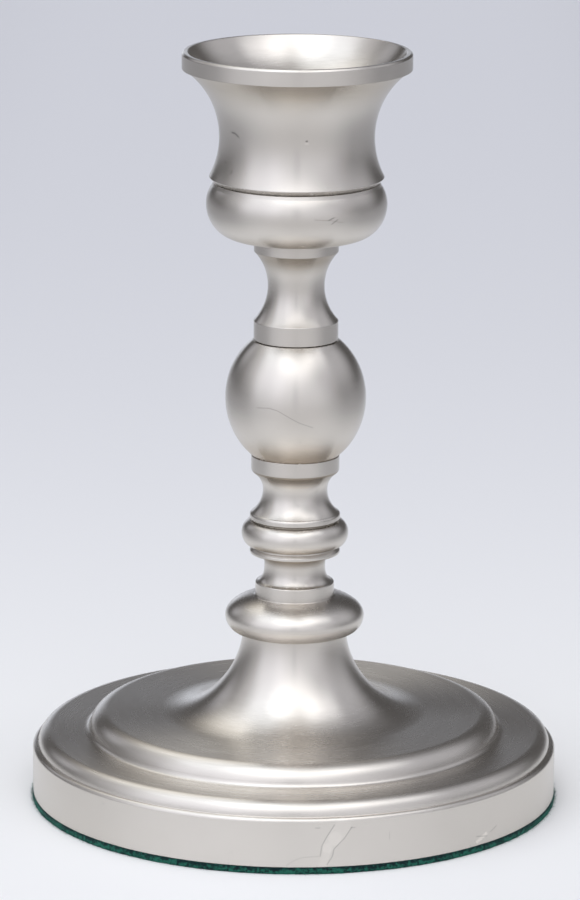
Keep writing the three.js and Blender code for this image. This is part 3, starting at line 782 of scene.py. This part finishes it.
def satin_nickel(name, looks, node):
    """Brushed nickel plate: lines round the axis, clearest on level faces, with dull clouds,
    painted shade and painted reflection under overhangs and at seams, and wear."""
    material, w = new_material(name)
    place, around = round_the_axis(w)
    run = w.node("ShaderNodeAttribute", attribute_name="outline_run").outputs["Fac"]
    fine = lathe_lines(w, around, run, looks.line_pitch, FINE_LINES)
    broad = lathe_lines(w, around, run, looks.line_pitch, BROAD_LINES)
    facing = w.split(w.node("ShaderNodeNewGeometry").outputs["Normal"])[2]
    level = w.spread(w.math("ABSOLUTE", facing), *LINED_SLOPES, LINES_ELSEWHERE, 1.0)
    lines = w.math("SUBTRACT", w.math("ADD", fine, broad), 1.0)
    clouds = w.math("SUBTRACT", w.noise(place, CLOUD_SCALE, detail=3.0), 0.5)
    drawn = w.math("MULTIPLY", lines, w.math("MULTIPLY", level, LINE_STRENGTH))
    bright = w.math("ADD", drawn, w.math("MULTIPLY", clouds, CLOUD_STRENGTH))
    colour = w.blend(w.spread(bright, *NICKEL_RANGE), looks.nickel_shade, looks.nickel)
    # Painted shade and painted reflection: the colour is darkened on faces under overhangs and at seams.
    for full, ended, left, steepest in PAINTED_SHADE.get(node, ()):
        shade_heights = w.spread(w.split(place)[2], ended * MM, full * MM)
        painted_shade_mask = w.math("MULTIPLY", shade_heights, w.spread(facing, steepest, steepest - PAINTED_SHADE_FADE))
        colour = w.blend(painted_shade_mask, colour, w.vector("MULTIPLY", colour, left))
    if node in WEAR:
        colour = worn(w, place, node, colour)
    rough = w.math("ADD", looks.nickel_roughness, w.math("MULTIPLY", drawn, LINE_ROUGHNESS))
    height = w.math("MULTIPLY", fine, level)
    tangent = w.node("ShaderNodeTangent", direction_type="RADIAL", axis="Z").outputs[0]
    shader_out(w, {
        "Base Color": colour, "Metallic": 1.0, "Roughness": rough,
        "Normal": raised(w, height, looks.line_depth, 1.0),
        "Anisotropic": looks.nickel_lines, "Anisotropic Rotation": 0.25, "Tangent": tangent,
    })
    return material


def zinc_steel(name, looks):
    """Zinc plate with its dull blotches."""
    material, w = new_material(name)
    place, _ = round_the_axis(w)
    blotches = w.noise(place, BLOTCH_SCALE, detail=4.0, roughness=0.65)
    colour = w.blend(w.spread(blotches, *ZINC_RANGE), looks.zinc_shade, looks.zinc)
    rough = w.spread(blotches, *ZINC_ROUGH_RANGE, looks.zinc_dulled, looks.zinc_roughness)
    normal = raised(w, blotches, looks.zinc_depth, ZINC_BUMP)
    shader_out(w, {"Base Color": colour, "Metallic": 1.0, "Roughness": rough, "Normal": normal})
    return material


def green_felt(name, looks, thickness):
    """Pressed wool: a mat of short fibres, darker in its depth, with painted shade along its top under the
    foot.
    """
    material, w = new_material(name)
    place, _ = round_the_axis(w)
    mat = w.noise(place, WOOL_SCALE, detail=3.0, roughness=0.7)
    clouds = w.noise(place, WOOL_CLOUD_SCALE)
    clouds = w.math("MULTIPLY", clouds, 1 - WOOL_SHARE)
    depth = w.math("ADD", w.math("MULTIPLY", mat, WOOL_SHARE), clouds)
    # Painted shade: darker towards the felt's top, under the foot.
    foot_shade = w.spread(w.split(place)[2], FOOT_SHADE_FROM * thickness, thickness, 0.0, FOOT_SHADE_DEPTH)
    lit = w.spread(w.math("SUBTRACT", depth, foot_shade), *WOOL_RANGE)
    shader_out(w, {
        "Base Color": w.blend(lit, looks.felt_shade, looks.felt), "Roughness": 0.95,
        "Normal": raised(w, mat, looks.felt_depth, WOOL_BUMP), "Specular IOR Level": 0.15,
        "Sheen Weight": 0.25, "Sheen Roughness": 0.5, "Sheen Tint": (*looks.felt_sheen, 1.0),
    })
    return material


class Bores:
    """Radii of the rod's hole, the spigots and their recesses."""

    def __init__(self, joinery):
        self.hole = radius_of("tie_rod") + joinery.rod_clearance
        self.spigot = self.hole + joinery.spigot_wall
        self.recess = self.spigot + joinery.spigot_clearance
        self.spigot_height = joinery.spigot_height
        self.recess_depth = joinery.spigot_height + joinery.spigot_clearance


def start_at_recess(joinery, seat, radius, tight=False):
    """Lower end of a column piece, from the rod's hole through the recess to the seat's edge.
    A tight seam has no relief and hardly shows."""
    bores = Bores(joinery)
    pen = Outline(bores.hole, seat + bores.recess_depth, joinery.edge)
    pen.line(bores.recess, seat + bores.recess_depth)
    pen.line(bores.recess, seat)
    if tight:
        pen.line(radius, seat, joinery.edge / 4)
        return pen
    pen.line(radius - joinery.relief_width, seat)
    pen.line(radius, seat + joinery.relief, joinery.seam)
    return pen


def close_with_spigot(pen, joinery, top):
    """Upper end of a column piece, in to the spigot and over it to the rod's hole."""
    bores = Bores(joinery)
    pen.line(bores.spigot, top)
    pen.line(bores.spigot, top + bores.spigot_height)
    pen.line(bores.hole, top + bores.spigot_height)
    return pen


def foot_outline(sizes, joinery):
    bores = Bores(joinery)
    bottom, top, radius = seat_of("foot"), seat_of("cushion_knop"), radius_of("foot")
    band_top = bottom + sizes.band_height + sizes.band_edge
    shoulder = radius - sizes.band_edge - sizes.quirk
    ring = shoulder - sizes.shoulder_depth
    ring_height = band_top + sizes.shoulder_rise
    step = ring - sizes.ring_width
    step_top = ring_height + sizes.step_rise
    inner_ring = step - sizes.step_depth
    trumpet = inner_ring - sizes.inner_ring_width
    ceiling = step_top - sizes.wall
    nut_seat = ceiling - sizes.boss_drop
    pen = Outline(bores.hole, nut_seat, joinery.edge)
    pen.line(sizes.boss_radius, nut_seat)
    pen.line(sizes.boss_radius, ceiling)
    pen.line(step - sizes.wall, ceiling)
    pen.line(step - sizes.wall, ring_height - sizes.wall)
    pen.line(radius - sizes.wall, ring_height - sizes.wall)
    pen.line(radius - sizes.wall, bottom)
    pen.line(radius, bottom, joinery.seam)
    pen.line(radius, bottom + sizes.band_height, 0.0)
    pen.quarter(radius - sizes.band_edge, band_top, True)
    pen.line(shoulder, band_top)
    pen.quarter(ring, ring_height, True)
    pen.line(step, ring_height, sizes.step_corner)
    pen.quarter(inner_ring, step_top, True)
    pen.line(trumpet, step_top, 0.0)
    pen.curve(
        (trumpet - sizes.trumpet_pull_out, step_top),
        (sizes.trumpet_radius, top - sizes.trumpet_pull_down),
        (sizes.trumpet_radius, top), joinery.seam,
    )
    return close_with_spigot(pen, joinery, top)


def cushion_outline(sizes, joinery):
    seat, top, radius = seat_of("cushion_knop"), seat_of("cove_spool"), radius_of("cushion_knop")
    collar = radius_of("cove_spool") + joinery.edge / 4
    inner = radius - sizes.cushion_upper_depth
    lip = math.acos((collar + sizes.cushion_lip - inner) / sizes.cushion_upper_depth)
    pen = start_at_recess(joinery, seat, radius - sizes.cushion_lower_depth)
    pen.quarter(radius, seat + sizes.cushion_lower_rise, False)
    pen.quarter(inner, top, True, end=lip)
    pen.dish(collar, top + sizes.cushion_lip_rise, sizes.cushion_lip / 8)
    pen.line(collar, top, 0.0)
    return close_with_spigot(pen, joinery, top)


def cove_outline(sizes, joinery):
    seat, top, collar = seat_of("cove_spool"), seat_of("bead_ring"), radius_of("cove_spool")
    collar_top = seat + sizes.cove_collar_height
    edge_top = collar_top + sizes.cove_collar_edge
    pen = start_at_recess(joinery, seat, collar, tight=True)
    pen.line(collar, collar_top)
    pen.line(collar - sizes.cove_collar_edge, edge_top)
    pen.quarter(sizes.cove_waist, edge_top + sizes.cove_lower_rise, False)
    pen.quarter(sizes.cove_top, top, True)
    return close_with_spigot(pen, joinery, top)


def bead_outline(sizes, joinery):
    seat, top, radius = seat_of("bead_ring"), seat_of("vase_spool"), radius_of("bead_ring")
    middle = top - sizes.bead_quirk - sizes.bead_half_height
    pen = start_at_recess(joinery, seat, sizes.ring_radius)
    pen.line(sizes.ring_radius, seat + sizes.ring_height)
    pen.line(sizes.bead_neck, seat + sizes.ring_height + sizes.ring_bevel)
    pen.line(sizes.bead_neck, middle - sizes.bead_half_height)
    pen.quarter(radius, middle, False)
    pen.quarter(sizes.bead_neck, middle + sizes.bead_half_height, True, joinery.edge)
    pen.line(sizes.bead_neck, top)
    return close_with_spigot(pen, joinery, top)


def vase_outline(sizes, joinery):
    seat, top, foot = seat_of("vase_spool"), seat_of("ball_knop"), radius_of("vase_spool")
    lower_edge = seat + sizes.vase_foot_height + sizes.vase_lower_edge
    collar_foot = top - sizes.vase_collar_height
    pen = start_at_recess(joinery, seat, foot)
    pen.line(foot, seat + sizes.vase_foot_height, 0.0)
    pen.sweep(foot - sizes.vase_edge_depth, lower_edge, True)
    pen.sweep(sizes.vase_waist, lower_edge + sizes.vase_lower_rise, False)
    pen.sweep(sizes.vase_collar - sizes.vase_edge_depth, collar_foot - sizes.vase_upper_edge, True)
    pen.sweep(sizes.vase_collar, collar_foot, False)
    pen.line(sizes.vase_collar, top, joinery.seam)
    return close_with_spigot(pen, joinery, top)


def ball_outline(sizes, joinery):
    seat, top, radius = seat_of("ball_knop"), seat_of("neck_spool"), radius_of("ball_knop")
    middle = (seat + top) / 2
    faced = math.asin((top - middle) / sizes.ball_half_height)
    pen = start_at_recess(joinery, seat, radius * math.cos(faced), tight=True)
    pen.oval(middle, radius, sizes.ball_half_height, -faced, faced, joinery.seam)
    return close_with_spigot(pen, joinery, top)


def neck_outline(sizes, joinery):
    seat, top, collar = seat_of("neck_spool"), seat_of("cup_bowl"), radius_of("neck_spool")
    lower_top = seat + sizes.neck_lower_height
    pen = start_at_recess(joinery, seat, collar)
    pen.line(collar, lower_top)
    pen.sweep(sizes.neck_waist, lower_top + sizes.neck_lower_rise, False)
    pen.sweep(collar, top - sizes.neck_upper_height, True, joinery.edge)
    pen.line(collar, top, joinery.seam)
    return close_with_spigot(pen, joinery, top)


def bowl_outline(sizes, joinery):
    bores = Bores(joinery)
    seat, top, radius = seat_of("cup_bowl"), top_of("cup_bowl"), radius_of("cup_bowl")
    boss_recess = seat_of("candle_cup") - joinery.spigot_clearance
    boss_radius = sizes.boss_radius + joinery.spigot_clearance
    pen = start_at_recess(joinery, seat, radius - sizes.bowl_lower_depth)
    pen.quarter(radius, seat + sizes.bowl_lower_rise, False)
    pen.sweep(sizes.bowl_top, top - sizes.bowl_bevel_rise, True, joinery.edge)
    pen.line(sizes.seam_radius, top)
    pen.line(boss_radius, top)
    pen.line(boss_radius, boss_recess)
    pen.line(bores.hole, boss_recess)
    return pen


def cup_outline(sizes, joinery):
    bores = Bores(joinery)
    seat, top, lip = top_of("cup_bowl"), top_of("candle_cup"), radius_of("candle_cup")
    boss_end = seat_of("candle_cup")
    waist_height = seat + sizes.edge_rise + sizes.lower_rise
    lip_foot = waist_height + sizes.flare_rise
    socket_floor = seat + sizes.floor
    pen = Outline(0.0, seat + sizes.hole_reach, joinery.edge)
    pen.line(bores.hole, seat + sizes.hole_reach)
    pen.line(bores.hole, boss_end)
    pen.line(sizes.boss_radius, boss_end)
    pen.line(sizes.boss_radius, seat)
    pen.line(sizes.seam_radius - joinery.relief_width, seat)
    pen.line(sizes.seam_radius - joinery.relief / 2, seat + joinery.relief / 2, 0.0)
    pen.line(sizes.edge_radius, seat + sizes.edge_rise)
    pen.sweep(sizes.waist, waist_height, False)
    pen.sweep(lip - sizes.lip_step, lip_foot, True, joinery.edge)
    pen.line(lip, lip_foot)
    pen.line(lip, top - sizes.lip_chamfer)
    pen.line(lip - sizes.lip_chamfer, top)
    pen.line(lip - sizes.lip_chamfer - sizes.lip_top_width, top)
    pen.dish(sizes.bore_radius, socket_floor + sizes.bore_height, sizes.mouth_hollow, joinery.edge)
    pen.line(sizes.bore_radius, socket_floor)
    pen.line(0.0, socket_floor, 0.0)
    return pen


def felt_pad(sizes):
    """Felt disc whose scissored edge wanders in and out."""
    radius, thickness = radius_of("felt_pad"), top_of("felt_pad")
    pen = Outline(0.0, 0.0, sizes.edge_round)
    for inner in FELT_RINGS:
        pen.line(inner * radius, 0.0, 0.0)
    pen.line(radius, 0.0)
    pen.line(radius, thickness / 2, 0.0)
    pen.line(radius, thickness)
    for inner in (*reversed(FELT_RINGS), 0.0):
        pen.line(inner * radius, thickness, 0.0)
    piece = revolve("felt_disc", pen, FELT_SIDES)
    for vertex in piece.data.vertices:
        out = Vector((vertex.co.x, vertex.co.y, 0.0))
        if out.length > FELT_RIM * radius:
            slow = noise.noise(vertex.co * SLOW_WANDER_SCALE)
            quick = noise.noise(vertex.co * QUICK_WANDER_SCALE)
            wander = WANDER_SHARE * slow + WANDER_SHARE * quick - WANDER_INWARD
            vertex.co += out.normalized() * sizes.edge_wander * wander
    return piece


def felt_fibres(sizes):
    """Loose wool fibres that stand out from the felt's cut edge, each a bent three-sided strand."""
    draw = random.Random(FIBRE_SEED)
    radius, thickness = radius_of("felt_pad"), top_of("felt_pad")
    up = Vector((0, 0, 1))
    verts, faces = [], []
    for _ in range(sizes.fibre_count):
        turned = draw.uniform(0, 2 * math.pi)
        outward = Vector((math.cos(turned), math.sin(turned), 0.0))
        aside = Vector((-outward.y, outward.x, 0.0))
        root = outward * (radius - sizes.fibre_root)
        root.z = draw.uniform(*FIBRE_HEIGHTS) * thickness
        reach = sizes.fibre_length * (SHORT_FIBRE + (1 - SHORT_FIBRE) * draw.random() ** 2)
        lean, lift = draw.gauss(*FIBRE_LEAN), draw.gauss(*FIBRE_LIFT)
        way = (outward + aside * lean + up * lift).normalized()
        bend = (aside * draw.gauss(*FIBRE_BEND) + up * draw.gauss(*FIBRE_DROOP)) * reach
        width = sizes.fibre_width * draw.uniform(*FIBRE_WIDTHS)
        side = way.cross(up).normalized() * width
        rise = way.cross(side).normalized() * width
        first = len(verts)
        for step, taper in FIBRE_TAPER:
            middle = root + way * (step * (reach + sizes.fibre_root)) + bend * step * step
            middle.z = min(max(middle.z, sizes.fibre_gap), thickness + sizes.fibre_rise)
            for third in range(3):
                spin = third * 2 * math.pi / 3
                verts.append(middle + (side * math.cos(spin) + rise * math.sin(spin)) * taper / 2)
        for ring in (first, first + 3):
            faces += band(ring, ring + 3, 3)
        faces.append((first + 2, first + 1, first))
        faces.append((first + 6, first + 7, first + 8))
    return mesh_piece("felt_fibres", verts, faces)


def threaded_rod(sizes):
    """Rod with a thread cut at each end and a plain shank between."""
    bottom, top, radius = seat_of("tie_rod"), top_of("tie_rod"), radius_of("tie_rod")
    rise = sizes.pitch / THREAD_STEPS
    lower = [bottom + rise * i for i in range(int(sizes.lower_thread / rise))]
    upper = [top - rise * i for i in range(int(sizes.upper_thread / rise))]
    verts = [(0.0, 0.0, bottom)]
    for z in lower + upper[::-1]:
        from_end = min(z - bottom, top - z)
        reach = sizes.lower_thread if z < (bottom + top) / 2 else sizes.upper_thread
        fade = min(1.0, max(0.0, (reach - from_end) / sizes.pitch))
        for i in range(ROD_SIDES):
            phase = ((z - bottom) / sizes.pitch - i / ROD_SIDES) % 1.0
            depth = sizes.thread_depth * fade * abs(2 * phase - 1)
            r = min(radius - depth, radius - sizes.thread_depth + from_end)
            angle = 2 * math.pi * i / ROD_SIDES
            verts.append((r * math.cos(angle), r * math.sin(angle), z))
    verts.append((0.0, 0.0, top))
    rings = range(1, len(verts) - 1, ROD_SIDES)
    faces = flipped(fan(0, rings[0], ROD_SIDES)) + fan(len(verts) - 1, rings[-1], ROD_SIDES)
    for low, high in zip(rings, rings[1:]):
        faces += band(low, high, ROD_SIDES)
    return mesh_piece("threaded_rod", verts, faces)


def bevelled_nut(sizes, joinery):
    """Six-sided nut with bevelled corners and a countersunk hole."""
    bottom, top = seat_of("hex_nut"), top_of("hex_nut")
    hole = Bores(joinery).hole
    sunk = hole + sizes.nut_sink
    flat = sizes.nut_flats / 2
    face = flat * sizes.nut_face
    verts = []
    for i in range(NUT_SIDES):
        angle = 2 * math.pi * i / NUT_SIDES
        across = (angle + math.pi / 6) % (math.pi / 3) - math.pi / 6
        corner = flat / math.cos(math.pi / 6 - abs(across))
        drop = (corner - flat) * math.tan(sizes.nut_bevel) + sizes.nut_edge
        profile = [
            (hole, bottom + sizes.nut_sink), (sunk, bottom), (face, bottom), (corner, bottom + drop),
            (corner, top - drop), (face, top), (sunk, top), (hole, top - sizes.nut_sink),
        ]
        verts += [(r * math.cos(angle), r * math.sin(angle), z) for r, z in profile]
    corners = len(profile)
    faces = []
    for i in range(NUT_SIDES):
        faces += band((i + 1) % NUT_SIDES * corners, i * corners, corners)
    piece = mesh_piece("bevelled_nut", verts, faces)
    piece.data.set_sharp_from_angle(angle=math.radians(25))
    return piece


def flat_washer(sizes, joinery):
    bottom, top, radius = seat_of("flat_washer"), top_of("flat_washer"), radius_of("flat_washer")
    hole = Bores(joinery).hole
    pen = Outline(hole, bottom, sizes.washer_edge)
    pen.line(radius, bottom)
    pen.line(radius, top)
    pen.line(hole, top)
    return revolve("pressed_washer", pen, COLUMN_SIDES)


def split_washer(sizes, joinery):
    """Spring washer, pressed flat, with a slanting split."""
    low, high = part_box("lock_washer")
    bottom, top = low.z, high.z
    radius, hole = (high.y - low.y) / 2, Bores(joinery).hole
    edge = sizes.washer_edge / 2
    section = [
        (hole, bottom + edge), (hole + edge, bottom), (radius - edge, bottom), (radius, bottom + edge),
        (radius, top - edge), (radius - edge, top), (hole + edge, top), (hole, top - edge),
    ]
    corners = len(section)
    verts, faces = [], []
    for i in range(SPLIT_STEPS + 1):
        for r, z in section:
            gap = math.asin(sizes.split_gap / 2 / r)
            slant = gap * sizes.split_slant * (z - bottom) / (top - bottom)
            angle = gap + slant + (2 * math.pi - 2 * gap) * i / SPLIT_STEPS
            verts.append((r * math.cos(angle), r * math.sin(angle), z))
    for i in range(SPLIT_STEPS):
        faces += band((i + 1) * corners, i * corners, corners)
    faces.append(tuple(range(corners)))
    faces.append(tuple(reversed(range(SPLIT_STEPS * corners, (SPLIT_STEPS + 1) * corners))))
    piece = mesh_piece("split_washer", verts, faces)
    piece.data.set_sharp_from_angle(angle=math.radians(30))
    return piece


class TurnedPiece:
    """What the operators for the turned pieces share."""

    bl_options = {"REGISTER", "UNDO"}
    sides = COLUMN_SIDES

    def execute(self, context):
        settings = context.scene.candlestick
        outline = self.outline(getattr(settings, self.sizes), settings.joinery)
        piece = revolve("turned_" + self.node, outline, self.sides)
        plate = satin_nickel("Satin nickel, " + self.node, settings.looks, self.node)
        dress(piece, self.node, plate)
        return {"FINISHED"}


class CANDLESTICK_OT_foot(TurnedPiece, Operator):
    """Turn the stepped foot with its trumpet and hollow underside"""

    bl_idname = "candlestick.foot"
    bl_label = "Foot"
    node = "foot"
    sizes = "foot"
    sides = FOOT_SIDES
    outline = staticmethod(foot_outline)


class CANDLESTICK_OT_cushion_knop(TurnedPiece, Operator):
    """Turn the flattened knop that stands on the foot"""

    bl_idname = "candlestick.cushion_knop"
    bl_label = "Cushion Knop"
    node = "cushion_knop"
    sizes = "knops"
    outline = staticmethod(cushion_outline)


class CANDLESTICK_OT_cove_spool(TurnedPiece, Operator):
    """Turn the small spool with its cove and collar"""

    bl_idname = "candlestick.cove_spool"
    bl_label = "Cove Spool"
    node = "cove_spool"
    sizes = "spools"
    outline = staticmethod(cove_outline)


class CANDLESTICK_OT_bead_ring(TurnedPiece, Operator):
    """Turn the bead with the thin ring under it"""

    bl_idname = "candlestick.bead_ring"
    bl_label = "Bead and Ring"
    node = "bead_ring"
    sizes = "knops"
    outline = staticmethod(bead_outline)


class CANDLESTICK_OT_vase_spool(TurnedPiece, Operator):
    """Turn the vase-shaped spool under the ball"""

    bl_idname = "candlestick.vase_spool"
    bl_label = "Vase Spool"
    node = "vase_spool"
    sizes = "spools"
    outline = staticmethod(vase_outline)


class CANDLESTICK_OT_ball_knop(TurnedPiece, Operator):
    """Turn the ball in the middle of the column"""

    bl_idname = "candlestick.ball_knop"
    bl_label = "Ball"
    node = "ball_knop"
    sizes = "knops"
    outline = staticmethod(ball_outline)


class CANDLESTICK_OT_neck_spool(TurnedPiece, Operator):
    """Turn the slim neck between the ball and the bowl"""

    bl_idname = "candlestick.neck_spool"
    bl_label = "Neck Spool"
    node = "neck_spool"
    sizes = "spools"
    outline = staticmethod(neck_outline)


class CANDLESTICK_OT_cup_bowl(TurnedPiece, Operator):
    """Turn the bowl that carries the candle cup"""

    bl_idname = "candlestick.cup_bowl"
    bl_label = "Bowl"
    node = "cup_bowl"
    sizes = "cup"
    outline = staticmethod(bowl_outline)


class CANDLESTICK_OT_candle_cup(TurnedPiece, Operator):
    """Turn the flared cup with its lip and candle socket"""

    bl_idname = "candlestick.candle_cup"
    bl_label = "Candle Cup"
    node = "candle_cup"
    sizes = "cup"
    outline = staticmethod(cup_outline)


class CANDLESTICK_OT_felt_pad(Operator):
    """Cut the felt pad and raise the loose fibres on its edge"""

    bl_idname = "candlestick.felt_pad"
    bl_label = "Felt Pad"
    bl_options = {"REGISTER", "UNDO"}

    def execute(self, context):
        settings = context.scene.candlestick
        wool = green_felt("Green felt", settings.looks, top_of("felt_pad"))
        pad = dress(felt_pad(settings.felt), "felt_pad", wool)
        fibres = felt_fibres(settings.felt)
        fibres.data.materials.append(wool)
        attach(fibres, BODY)
        return {"FINISHED"}


class CANDLESTICK_OT_fasteners(Operator):
    """Make the tie rod, its nut and its two washers"""

    bl_idname = "candlestick.fasteners"
    bl_label = "Rod, Nut and Washers"
    bl_options = {"REGISTER", "UNDO"}

    def execute(self, context):
        settings = context.scene.candlestick
        sizes, joinery = settings.fasteners, settings.joinery
        zinc = zinc_steel("Zinc plate", settings.looks)
        dress(threaded_rod(sizes), "tie_rod", zinc)
        dress(bevelled_nut(sizes, joinery), "hex_nut", zinc)
        dress(flat_washer(sizes, joinery), "flat_washer", zinc)
        dress(split_washer(sizes, joinery), "lock_washer", zinc)
        return {"FINISHED"}


def table_top(looks):
    """Wide round table top, with a painted pool of light round the foot and painted shade far behind, in
    front and to the sides.
    """
    verts = [(0.0, 0.0, 0.0)]
    for ring in range(1, TABLE_RINGS + 1):
        verts += round_ring(looks.table_radius * (ring / TABLE_RINGS) ** 2, 0.0, TABLE_SIDES)
    rings = range(1, len(verts), TABLE_SIDES)
    faces = fan(0, rings[0], TABLE_SIDES)
    for low, high in zip(rings, rings[1:]):
        faces += band(high, low, TABLE_SIDES)
    table = mesh_piece("table_top", verts, faces)
    material, w = new_material("Pale table top")
    x, y, _ = w.split(w.node("ShaderNodeTexCoord").outputs["Object"])
    # Painted pool of light round the foot, with painted shade far behind, in front and to the sides.
    behind = w.math("MAXIMUM", w.math("SUBTRACT", y, looks.fade_start), 0.0)
    near = w.math("EXPONENT", w.math("DIVIDE", behind, -looks.table_fade))
    colour = w.blend(near, looks.table_far, looks.table_near)
    colour = w.blend(w.spread(y, -looks.front_start, -looks.front_end), colour, looks.table_front)
    beside = w.spread(w.math("ABSOLUTE", x), looks.aside_start, looks.aside_end)
    aside = w.math("MULTIPLY", beside, w.spread(y, -looks.aside_front, 0.0))
    colour = w.blend(aside, colour, looks.table_aside)
    shader_out(w, {"Base Color": colour, "Roughness": 0.6, "Specular IOR Level": 0.2})
    table.data.materials.append(material)
    return table


def soft_light(w, way, place, colour):
    """Glow of a round soft light at its place in the room."""
    bearing, height, full, faded = (math.radians(degrees) for degrees in place)
    level = math.cos(height)
    middle = (math.sin(bearing) * level, -math.cos(bearing) * level, math.sin(height))
    away = w.math("ARCCOSINE", w.vector("DOT_PRODUCT", way, middle))
    return w.scaled(colour, w.spread(away, faded, full))


def room(looks):
    """The room round the table: soft lights in a dim room, with a little shade round the camera."""
    world = bpy.data.worlds.new("Room")
    bpy.context.scene.world = world
    world.use_nodes = True
    w = Wiring(world.node_tree)
    way = w.node("ShaderNodeTexCoord").outputs["Generated"]
    light = tuple(looks.dim_room)
    for name, place in LIGHT_PLACES.items():
        light = w.vector("ADD", light, soft_light(w, way, place, getattr(looks, name)))
    x, y, z = w.split(way)
    beside = w.spread(w.math("ABSOLUTE", x), *SHADE_ASIDE)
    clear = w.math("MAXIMUM", w.math("MAXIMUM", beside, w.spread(z, *SHADE_UP)), w.spread(y, *SHADE_BACK))
    light = w.scaled(light, w.spread(clear, 0.0, 1.0, looks.camera_shade, 1.0, smooth=False))
    background = w.node("ShaderNodeBackground", {"Color": light, "Strength": 1.0})
    w.node("ShaderNodeOutputWorld", {"Surface": background.outputs[0]})


def portrait_camera(looks):
    """Camera in front of the table, fitted to the photograph."""
    camera = bpy.data.cameras.new("Portrait")
    camera.lens = looks.camera_lens
    camera.sensor_width = SENSOR_WIDTH
    camera.clip_start, camera.clip_end = 0.05, 20.0
    holder = bpy.data.objects.new("Portrait", camera)
    place = Matrix.Translation((-looks.camera_aside, -looks.camera_distance, looks.camera_height))
    pitch = Matrix.Rotation(math.pi / 2 - looks.camera_pitch, 4, "X")
    holder.matrix_world = place @ pitch @ Matrix.Rotation(looks.camera_roll, 4, "Z")
    bpy.context.scene.collection.objects.link(holder)
    bpy.context.scene.camera = holder


class CANDLESTICK_OT_stage(Operator):
    """Set the candlestick on a pale table, with soft light and a camera"""

    bl_idname = "candlestick.stage"
    bl_label = "Table, Light and Camera"
    bl_options = {"REGISTER", "UNDO"}

    def execute(self, context):
        looks = context.scene.candlestick.stage
        table_top(looks)
        room(looks)
        portrait_camera(looks)
        context.scene.view_settings.view_transform = "Standard"
        return {"FINISHED"}


PIECE_OPERATORS = (
    CANDLESTICK_OT_foot,
    CANDLESTICK_OT_cushion_knop,
    CANDLESTICK_OT_cove_spool,
    CANDLESTICK_OT_bead_ring,
    CANDLESTICK_OT_vase_spool,
    CANDLESTICK_OT_ball_knop,
    CANDLESTICK_OT_neck_spool,
    CANDLESTICK_OT_cup_bowl,
    CANDLESTICK_OT_candle_cup,
    CANDLESTICK_OT_felt_pad,
    CANDLESTICK_OT_fasteners,
    CANDLESTICK_OT_stage,
)


class CANDLESTICK_PT_sidebar(Panel):
    """Lists the candlestick's pieces, sizes and looks"""

    bl_idname = "CANDLESTICK_PT_sidebar"
    bl_label = "Candlestick"
    bl_space_type = "VIEW_3D"
    bl_region_type = "UI"
    bl_category = "Candlestick"

    def draw(self, context):
        layout = self.layout
        for operator in PIECE_OPERATORS:
            layout.operator(operator.bl_idname)
        settings = context.scene.candlestick
        for name in CandlestickSettings.__annotations__:
            group = getattr(settings, name)
            column = layout.column(align=True)
            column.label(text=name.capitalize())
            for size in type(group).__annotations__:
                column.prop(group, size)


CLASSES = (
    JoinerySizes, FootSizes, KnopSizes, SpoolSizes, CupSizes, FeltSizes, FastenerSizes, FinishLooks,
    StageLooks, CandlestickSettings, *PIECE_OPERATORS, CANDLESTICK_PT_sidebar,
)


def register():
    for cls in CLASSES:
        bpy.utils.register_class(cls)
    bpy.types.Scene.candlestick = PointerProperty(type=CandlestickSettings)


def unregister():
    del bpy.types.Scene.candlestick
    for cls in reversed(CLASSES):
        bpy.utils.unregister_class(cls)


def main():
    register()
    ops = bpy.ops.candlestick
    ops.foot()
    ops.cushion_knop()
    ops.cove_spool()
    ops.bead_ring()
    ops.vase_spool()
    ops.ball_knop()
    ops.neck_spool()
    ops.cup_bowl()
    ops.candle_cup()
    ops.felt_pad()
    ops.fasteners()
    ops.stage()


if __name__ == "__main__":
    main()
